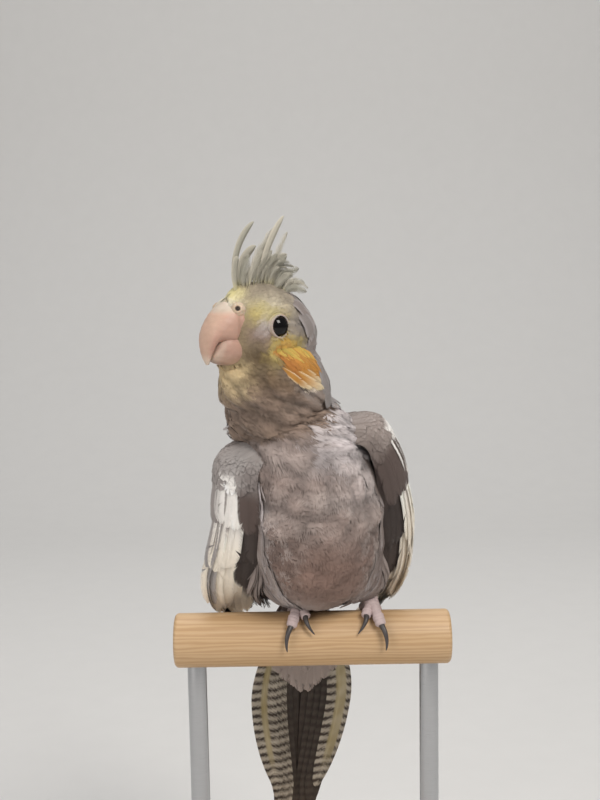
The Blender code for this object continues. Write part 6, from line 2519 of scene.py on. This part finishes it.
@dataclass
class Eye:
    """A dark ball deep in a ring of bare lids, for one side of the head.

    Lengths are in millimetres. A row of the lids' section gives its share from the opening
    outwards, how much wider than the opening it is and how far out from the ball's middle.
    """

    pose: Pose
    side: Side
    radius: float = 4.4
    place: Triple = (1.7, 9.0, 1.3)
    facing: float = math.radians(83)
    narrowing: float = 0.12
    section: Rows = (
        (0, 0.12, 2.4), (0.12, -0.02, 3.3), (0.3, 0.22, 3.5),
        (0.55, 0.75, 3.0), (0.8, 1.35, 2.1), (1.0, 2.2, -0.4),
    )

    def axes(self) -> tuple[Array, Array, Array]:
        """Looks along the eye's own directions.

        Returns:
            Outwards, forwards and up at the eye, in the head frame.
        """
        out = np.array([math.cos(self.facing), self.side.value * math.sin(self.facing), 0.0])
        up = np.array([0.0, 0.0, 1.0])
        ahead = unit(np.cross(up, out)) * self.side.value
        return out, ahead if ahead[0] > 0 else -ahead, up

    def centre(self) -> Array:
        """The ball's middle on this side, in the head frame."""
        return np.array(self.place) * (1, self.side.value, 1)

    def ball(self) -> Piece:
        """Makes the eyeball: profile r sin(a), r cos(a) turned about its axis, bulging in front.

        Returns:
            The piece.
        """
        polar, turn = np.linspace(0, math.pi, 40)[:, None], full_turn(64)[None]
        bulge = self.radius * (1 + 0.035 * bell(polar, 0.55))
        across = bulge * np.sin(polar)
        points = along_axes(
            self.centre(), self.axes(),
            bulge * np.cos(polar) * np.ones_like(turn), across * np.cos(turn), across * np.sin(turn),
        )
        piece = tube("eyeball_" + self.side.label, self.pose.head(close_ends(points) * MM))
        angle = np.broadcast_to(np.degrees(polar), points.shape[:2])
        paint(piece, blend(Shade.PUPIL, Shade.IRIS, ease(angle, 30, 36) * ease(-angle, -52, -44)))
        return wear(piece, WetEye("wet_eye"), "eye_black", "eye_" + self.side.label)

    def lids(self) -> Piece:
        """Makes the bare ring round the eye: a band whose section rises from the ball and rolls out.

        At turn a the opening's radius is 3.15 - 0.12 cos(2a) + 0.05 sin(3a + 1) millimetres, and
        shallow creases follow it.

        Returns:
            The piece.
        """
        out, ahead, up = self.axes()
        ahead, up = 0.98 * ahead - 0.17 * up, 0.98 * up + 0.17 * ahead
        turn = full_turn(96)
        q = np.linspace(0, 1, 22)
        opening = 3.15 - 0.12 * np.cos(2 * turn) + 0.05 * np.sin(3 * turn + 1)
        share, wide, high = np.array(self.section).T
        crease = 0.10 * np.sin(q * 24) * ease(q, 0.25, 0.4) * ease(-q, -0.95, -0.8)
        rough = 0.05 * np.sin(turn * 17 + 2 * np.sin(turn * 5))[None] * ease(q, 0.2, 0.5)[:, None]
        radius = opening[None] + np.interp(q, share, wide)[:, None]
        narrow = 1 - self.narrowing * (1 - ease(q, 0.1, 0.6))[:, None]
        height = (np.interp(q, share, high) + crease)[:, None] + rough
        points = along_axes(
            self.centre(), (out, ahead, up), height, radius * narrow * np.cos(turn), radius * np.sin(turn)
        )
        flat = self.pose.head(points * MM)
        piece = make_mesh("lids_" + self.side.label, flat, grid_faces(len(q), len(turn), True))
        spread = np.broadcast_to(q[:, None], radius.shape)
        shade = blend(Shade.LID, Shade.LID_OUTSIDE, ease(spread, 0.2, 0.6))
        shade = blend(Shade.LID_EDGE, shade, ease(spread, 0.03, 0.16))
        paint(piece, blend(shade, Markings(self.pose).coat(flat) * 0.9, ease(spread, 0.32, 0.6)))
        outward = np.cross(flat[0, 1] - flat[0, 0], flat[1, 0] - flat[0, 0])
        if (outward * (self.pose.head_axes().T @ out)).sum() < 0:
            piece.data.flip_normals()
        return wear(piece, Skin("lid_skin", subsurface=0.1), "face_plumage")

    def build(self) -> list[Piece]:
        """Ball and lids."""
        return [self.ball(), self.lids()]


@dataclass
class Cere:
    """The soft swelling over the bill on each side, with an open nostril."""

    pose: Pose
    place: Triple = (13.4, 4.4, 3.4)
    size: Triple = (2.8, 2.5, 2.6)
    nostril_shade: Triple = (0.58, 0.72, 0.12)

    def build(self) -> list[Piece]:
        """Makes both swellings: a ball whose surface sinks in a round pit with a raised rim.

        Returns:
            The two pieces.
        """
        pieces = []
        polar, turn = np.linspace(0, math.pi, 60)[:, None], full_turn(72)[None]
        for side in Side:
            hole = unit(np.array(self.nostril_shade) * (1, side.value, 1))
            first = unit(np.cross(hole, (0.0, 0.0, 1.0)))
            way = along_axes(
                0.0, (hole, first, np.cross(hole, first)),
                np.cos(polar) * np.ones_like(turn),
                np.sin(polar) * np.cos(turn),
                np.sin(polar) * np.sin(turn),
            )
            angle = np.broadcast_to(np.degrees(polar), way.shape[:2])
            pit = -0.2 * ease(-angle, -21, -14) + 0.05 * bell(angle - 28, 7)
            swell = way * self.size * (1 + pit + 0.02 * ripple(way, 0.5, 181))[..., None]
            points = np.array(self.place) * (1, side.value, 1) + swell
            piece = tube("cere_" + side.label, self.pose.head(close_ends(points) * MM))
            shade = layers(
                mottle(Shade.CERE, Shade.CERE_PALE, way, 0.9, 182),
                (Shade.CERE_PINK, 0.5 * ease(-way[..., 2], 0.1, 0.7)),
                # A near-black nostril: painted shade inside the opening.
                (Shade.NOSTRIL_SHADE, ease(-angle, -21, -16)),
            )
            paint(piece, shade)
            pieces.append(wear(piece, Skin("cere_skin", roughness=0.55, subsurface=0.15), "face_plumage"))
        return pieces


# ---------------------------------------------------------------- feet


@dataclass
class Foot:
    """A shank and four scaly toes that grip the perch, two before and two behind, with claws.

    A toe gives its number, splay and end turn in degrees, size and the length of its claw in
    millimetres; a row of the shank gives y, z and radius in millimetres of the bird frame.
    A toe's middle line runs round the perch: at turn a it lies at (radius sin a, radius cos a)
    and drifts sideways with its splay. Its section is a ring broken by overlapping scutes on top
    and by pads below.
    """

    pose: Pose
    side: Side
    x: float
    perch_radius: float = 9 * MM
    gap: float = 0.3 * MM
    toe_radius: float = 1.9 * MM
    toes: tuple[tuple[int, float, float, float, float], ...] = (
        (2, -17, 34, 0.92, 6.0), (3, 14, 52, 1.0, 8.5), (1, -14, -46, 0.88, 5.5), (4, 12, -72, 0.96, 7.0),
    )
    shank: Rows = ((0.5, 1.7, 2.5), (2.5, 5.5, 2.2), (6.0, 12.0, 2.2))

    def path(self, splay: float, first: float, last: float, count: int, lift: float) -> Array:
        """Lays a line round the perch.

        Args:
            splay: how far it drifts sideways, in degrees.
            first: where it starts, in degrees from the perch's top, forward positive.
            last: where it ends.
            count: how many points.
            lift: height over the gap round the perch.

        Returns:
            Points of the bird frame.
        """
        turns = np.radians(np.linspace(first, last, count))
        radius = self.perch_radius + self.gap + lift
        across = self.x + self.side.value * math.sin(math.radians(splay)) * radius * np.abs(turns) * 1.1
        up = radius * np.cos(turns) - self.perch_radius
        return np.column_stack([across, -radius * np.sin(turns), up])

    def inward(self, path: Array) -> Array:
        """Directions from a path round the perch towards its middle line."""
        return unit((np.array([0.0, 0.0, -self.perch_radius]) - path) * (0, 1, 1))

    def skin_shade(self, along: Array, turn: Array, points: Array) -> Array:
        """Pinkish grey with painted shade in the creases between the scutes, and pinker on the pads.

        Args:
            along: place along the limb, counted in scutes.
            turn: turn round the limb, 0 on top.
            points: places in the row frame.

        Returns:
            A colour for each point.
        """
        # groove: painted shade in the creases between the scutes on top.
        groove = ease(np.cos(turn), -0.1, 0.4) * ease(np.cos(along * 2 * math.pi), 0.55, 0.98)
        return layers(
            mottle(Shade.TOE, Shade.TOE_PALE, points, 3 * MM, 191),
            (Shade.TOE_CREASE_SHADE, 0.85 * groove),
            (Shade.TOE_PAD, 0.5 * ease(-np.cos(turn), 0.3, 0.9)),
        )

    def toe(self, name: str, path: Array, radii: Array, top: Array, scutes: float) -> Piece:
        """Makes one limb: rings stepped by scutes on top and by pads below.

        Args:
            name: name of the piece.
            path: points along its middle line, in the bird frame.
            radii: its radius at each point.
            top: the way that the scutes face.
            scutes: how many scutes it has.

        Returns:
            The piece.
        """
        rings, along, turn = sweep(path, np.ones(len(path)), 36, top)
        steps = np.mod(along * scutes, 1.0)
        upper = ease(np.cos(turn), -0.1, 0.5)
        scale = 1 + upper * (0.22 * (1 - steps) ** 0.6 - 0.08)
        small = (1 - upper) * 0.035 * np.sin(turn * 9 + along * 4) * np.sin(along * scutes * 12)
        centre = path[:, None]
        points = centre + (rings - centre) * (radii[:, None] * (scale + small))[..., None]
        points = self.pose.bird(points)
        piece = tube(name, close_ends(points))
        paint(piece, self.skin_shade(along * scutes, turn, points))
        return wear(piece, Skin("foot_skin", roughness=0.55, subsurface=0.03, grain=1800.0), "foot_skin")

    def claw(self, number: int, splay: float, wrap: float, size: float, length: float) -> Piece:
        """Makes a curved horn that carries on from the toe's end and tapers to a sharp point.

        Args:
            number: the toe's number.
            splay: how far the toe drifts sideways, in degrees.
            wrap: where the toe ends, in degrees from the perch's top.
            size: the toe's thickness as a share of the thickest.
            length: the claw's length in millimetres.

        Returns:
            The piece, which stands for the claw's solid.
        """
        sign = math.copysign(1, wrap)
        end = self.toe_radius * size
        start = wrap - sign * math.degrees(0.6 * MM / (self.perch_radius + end))
        last = wrap + sign * math.degrees(length * MM / (self.perch_radius + end))
        path = self.path(splay, start, last, 30, end)
        share = np.linspace(0, 1, 30)
        inward = self.inward(path)
        path = path - inward * (0.7 * MM * np.sin(math.pi * share) - 0.75 * MM * share**2)[:, None]
        path[:, 0] += self.side.value * 0.9 * MM * (np.sin(math.pi * share) - share)
        radii = 1.12 * MM * (1 - share) ** 0.7 + 0.1 * MM
        rings, along, turn = sweep(path, radii, 24, -inward)
        pinch = 0.16 * np.abs(np.sin(turn)) ** 3
        rings = self.pose.bird(rings + (path[:, None] - rings) * pinch[..., None])
        name = f"{self.side.label}_{number}"
        piece = tube("claw_horn_" + name, close_ends(rings))
        shade = blend(Shade.CLAW_ROOT, Shade.CLAW, ease(along, 0.05, 0.6))
        paint(piece, blend(shade, Shade.CLAW_UNDER, 0.4 * ease(-np.cos(turn), 0.2, 0.9)))
        return wear(piece, Horn("claw_horn", roughness=0.3, subsurface=0.0), "claw_horn", "claw_" + name)

    def build(self) -> list[Piece]:
        """Makes toes, claws and shank.

        Returns:
            The pieces.
        """
        pieces = []
        share = np.linspace(0, 1, 60)
        swell = 1 + 0.10 * np.sin(share * 3 * math.pi) + 0.05 * np.sin(share * 9 * math.pi)
        blunt = np.sqrt(np.clip((1 - share) / 0.07, 0, 1) * 0.5 + 0.5)
        for number, splay, wrap, size, length in self.toes:
            radius = self.toe_radius * size
            last = wrap + math.copysign(1.5, wrap)
            path = self.path(splay, math.copysign(6, -wrap), last, len(share), radius)
            radii = radius * swell * (1.08 - 0.26 * share) * blunt
            name = f"toe_{self.side.label}_{number}"
            pieces.append(self.toe(name, path, radii, -self.inward(path), 6 + abs(wrap) / 9))
            pieces.append(self.claw(number, splay, wrap, size, length))
        rows = through(self.shank, 40) * MM
        path = np.column_stack([np.full(len(rows), self.x), rows[:, :2]])
        top = np.broadcast_to(np.array([0.0, -1.0, 0.2]), path.shape)
        shank = self.toe("shank_" + self.side.label, path, rows[:, 2], top, 7)
        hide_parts("foot_" + self.side.label)
        return [*pieces, shank]


# ---------------------------------------------------------------- stand


@dataclass
class Stand:
    """A round turned base, two satin rods and a round perch."""

    perch_y: float = -16 * MM
    perch_top: float = 150 * MM
    perch_radius: float = 9 * MM
    perch_half: float = 46 * MM
    base_radius: float = 68 * MM
    base_height: float = 12 * MM
    rod_radius: float = 3.2 * MM
    rod_x: float = 39 * MM
    groove_height: float = 8.6 * MM

    def turned(self, profile: Array, sides: int) -> Array:
        """Turns a profile about z.

        Args:
            profile: distance along z and radius for each point.
            sides: points of a ring.

        Returns:
            The rings.
        """
        turn = full_turn(sides)
        ring = np.stack([np.cos(turn), np.sin(turn), np.zeros(sides)], -1)
        return profile[:, 1][:, None, None] * ring + np.array([0, 0, 1.0]) * profile[:, 0][:, None, None]

    def rounded(self, low: float, high: float, radius: float, edge: float, steps: int) -> Array:
        """A rod's profile with quarter-round edges.

        At angle a of an edge e the distance is low + e (1 - sin a) and the radius r - e (1 - cos a).

        Args:
            low: where the rod starts.
            high: where it ends.
            radius: its radius.
            edge: radius of its edges.
            steps: points of an edge.

        Returns:
            Distance and radius for each point, from the middle of one end to that of the other.
        """
        a = np.linspace(0, math.pi / 2, steps)
        sink, narrow = edge * (1 - np.sin(a)), radius - edge * (1 - np.cos(a))
        start, end = np.column_stack([low + sink, narrow])[::-1], np.column_stack([high - sink, narrow])
        share = np.linspace(0, 1, 8)[1:-1, None]
        across = np.column_stack([np.full(6, low), share[:, 0] * start[0, 1]])
        middle = start[-1] + (end[0] - start[-1]) * share
        back = np.column_stack([np.full(6, high), share[::-1, 0] * end[-1, 1]])
        return np.vstack([[low, 0.0], across, start, middle, end, back, [high, 0.0]])

    def build(self) -> list[Piece]:
        """Makes base, perch and rods, with faint turning marks.

        Returns:
            The four pieces.
        """
        base = self.rounded(0.0, self.base_height, self.base_radius, 1.6 * MM, 9)
        groove = 0.35 * MM * bell(base[:, 0] - self.groove_height, 0.5 * MM)
        base[:, 1] -= groove * (base[:, 1] > 60 * MM)
        piece = tube("turned_base", self.turned(base, 160))
        wood = Wood("turned_base_wood", (4.0, 30.0, 30.0))
        pieces = [wear(piece, wood, "turned_wood", "stand_base")]
        rail = self.rounded(-self.perch_half, self.perch_half, self.perch_radius, 1.4 * MM, 8)
        rings = self.turned(rail, 96)[..., [2, 1, 0]] * (1, 1, -1)
        rings = rings + np.array([0, self.perch_y, self.perch_top - self.perch_radius])
        wood = Wood("turned_perch_wood", (5.0, 60.0, 60.0))
        pieces.append(wear(tube("turned_perch", rings), wood, "turned_wood", "stand_perch"))
        low, high = self.base_height + 0.3 * MM, self.perch_top - 1.7 * self.perch_radius
        for side in Side:
            rod = self.rounded(low, high, self.rod_radius, 0.5 * MM, 4)
            collar = np.exp(-((np.clip(rod[:, 0] - low, 0, 1) / (1.2 * MM)) ** 4)) * 0.6 * MM
            rod[:, 1] += collar * (rod[:, 1] > 2.5 * MM)
            rings = self.turned(rod, 40) + np.array([side.value * self.rod_x, self.perch_y, 0])
            piece = tube("satin_rod_" + side.label, rings)
            pieces.append(wear(piece, Steel("satin_steel"), "satin_rod", "stand_rod_" + side.label))
        return pieces


# ---------------------------------------------------------------- floor, light and camera


@dataclass(frozen=True)
class Lamp:
    """A square soft box."""

    name: str
    place: Triple
    size: float
    power: float
    warmth: str


@dataclass
class Room:
    """Floor with a backdrop, soft light and the camera."""

    place: Triple = (-2.778 * MM, -389.473 * MM, 267.423 * MM)
    pitch: float = math.radians(7)
    roll: float = math.radians(1)
    lens: float = 51.75
    target: Triple = (0.0, 0.0, 0.2)
    lamps: tuple[Lamp, ...] = (
        Lamp("key", (0.5, -0.75, 1.1), 0.45, 10.5, "FFFAF4"),
        Lamp("fill", (-0.85, -0.9, 0.6), 0.7, 5.3, "FFF9F4"),
        Lamp("top", (0.0, 0.3, 1.25), 0.9, 6.0, "FFFFFF"),
    )
    glow: float = 0.3
    half_width: float = 6.0
    bend: float = 0.5
    bend_start: float = 0.7
    height: float = 4.0

    def camera(self) -> None:
        """Sets up a camera that looks ahead, pitched down and rolled by a degree."""
        data = bpy.data.cameras.new("camera")
        data.lens, data.sensor_height, data.sensor_fit = self.lens, 36.0, "VERTICAL"
        data.clip_start = 0.01
        item = bpy.data.objects.new("camera", data)
        ahead = np.array([0, math.cos(self.pitch), -math.sin(self.pitch)])
        down = np.array([0, -math.sin(self.pitch), -math.cos(self.pitch)])
        level = np.array([1.0, 0, 0])
        right = math.cos(self.roll) * level + math.sin(self.roll) * down
        low = -math.sin(self.roll) * level + math.cos(self.roll) * down
        turn = Matrix([right.tolist(), (-low).tolist(), (-ahead).tolist()]).transposed().to_4x4()
        item.matrix_world = Matrix.Translation(self.place) @ turn
        bpy.context.scene.collection.objects.link(item)
        bpy.context.scene.camera = item

    def floor(self) -> None:
        """Paper that lies flat and then curves up behind: its height is r(1 - cos) along a quarter turn."""
        turn = np.linspace(0, math.pi / 2, 24)
        curve = self.bend_start + self.bend * np.sin(turn)
        y = np.concatenate([[-self.half_width, 0.0], curve, [self.bend_start + self.bend]])
        z = np.concatenate([[0.0, 0.0], self.bend * (1 - np.cos(turn)), [self.height]])
        x = np.linspace(-self.half_width, self.half_width, 9)
        points = np.stack(np.broadcast_arrays(x[None], y[:, None], z[:, None]), -1)
        piece = make_mesh("floor", points, grid_faces(len(y), len(x), False)[:, ::-1])
        piece.data.materials.append(Studio("studio_paper").material())

    def light(self, lamp: Lamp) -> None:
        """Hangs one lamp so that it faces the target.

        Args:
            lamp: the lamp.
        """
        data = bpy.data.lights.new(lamp.name, "AREA")
        data.size, data.energy, data.color = lamp.size, lamp.power, tuple(colour(lamp.warmth))
        item = bpy.data.objects.new(lamp.name, data)
        back = unit(np.array(lamp.place) - np.array(self.target))
        side = unit(np.cross((0.0, 0.0, 1.0), back))
        turn = Matrix([side.tolist(), np.cross(back, side).tolist(), back.tolist()]).transposed().to_4x4()
        item.matrix_world = Matrix.Translation(lamp.place) @ turn
        bpy.context.scene.collection.objects.link(item)

    def build(self) -> None:
        """Sets up room, lights and camera."""
        self.camera()
        self.floor()
        for lamp in self.lamps:
            self.light(lamp)
        world = bpy.data.worlds.new("studio")
        world.use_nodes = True
        inputs = world.node_tree.nodes["Background"].inputs
        inputs["Color"].default_value = (*colour("EDEFF2"), 1.0)
        inputs["Strength"].default_value = self.glow
        bpy.context.scene.world = world
        bpy.context.scene.view_settings.view_transform = "Standard"


# ---------------------------------------------------------------- the whole model


def main() -> None:
    """Builds the model in order."""
    logging.basicConfig(level=logging.INFO, format="%(name)s %(message)s")
    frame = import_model()
    Room().build()
    stand = Stand()
    pose = Pose(stand.perch_y, stand.perch_top)
    markings = Markings(pose)
    flesh = Flesh(pose, frame["nodes"], markings)
    surface = flesh.surface()
    flesh.dress(surface)
    covering = Covering(pose, surface, markings, flesh)
    covering.build()
    Loose(covering).build()
    Wing(pose, Side.LEFT, dark_edge=0.20, lobe_edge=0.29, white_edges=(0.5, 0.6)).build()
    Wing(pose, Side.RIGHT, dark_edge=0.135, lobe_edge=0.125, white_edges=(0.27, 0.335)).build()
    Tail(pose).build()
    Crest(pose).build()
    Bill(pose).build()
    Cere(pose).build()
    for side in Side:
        Eye(pose, side).build()
    Foot(pose, Side.LEFT, 19.8 * MM).build()
    Foot(pose, Side.RIGHT, -4.2 * MM).build()
    stand.build()


if __name__ == "__main__":
    main()
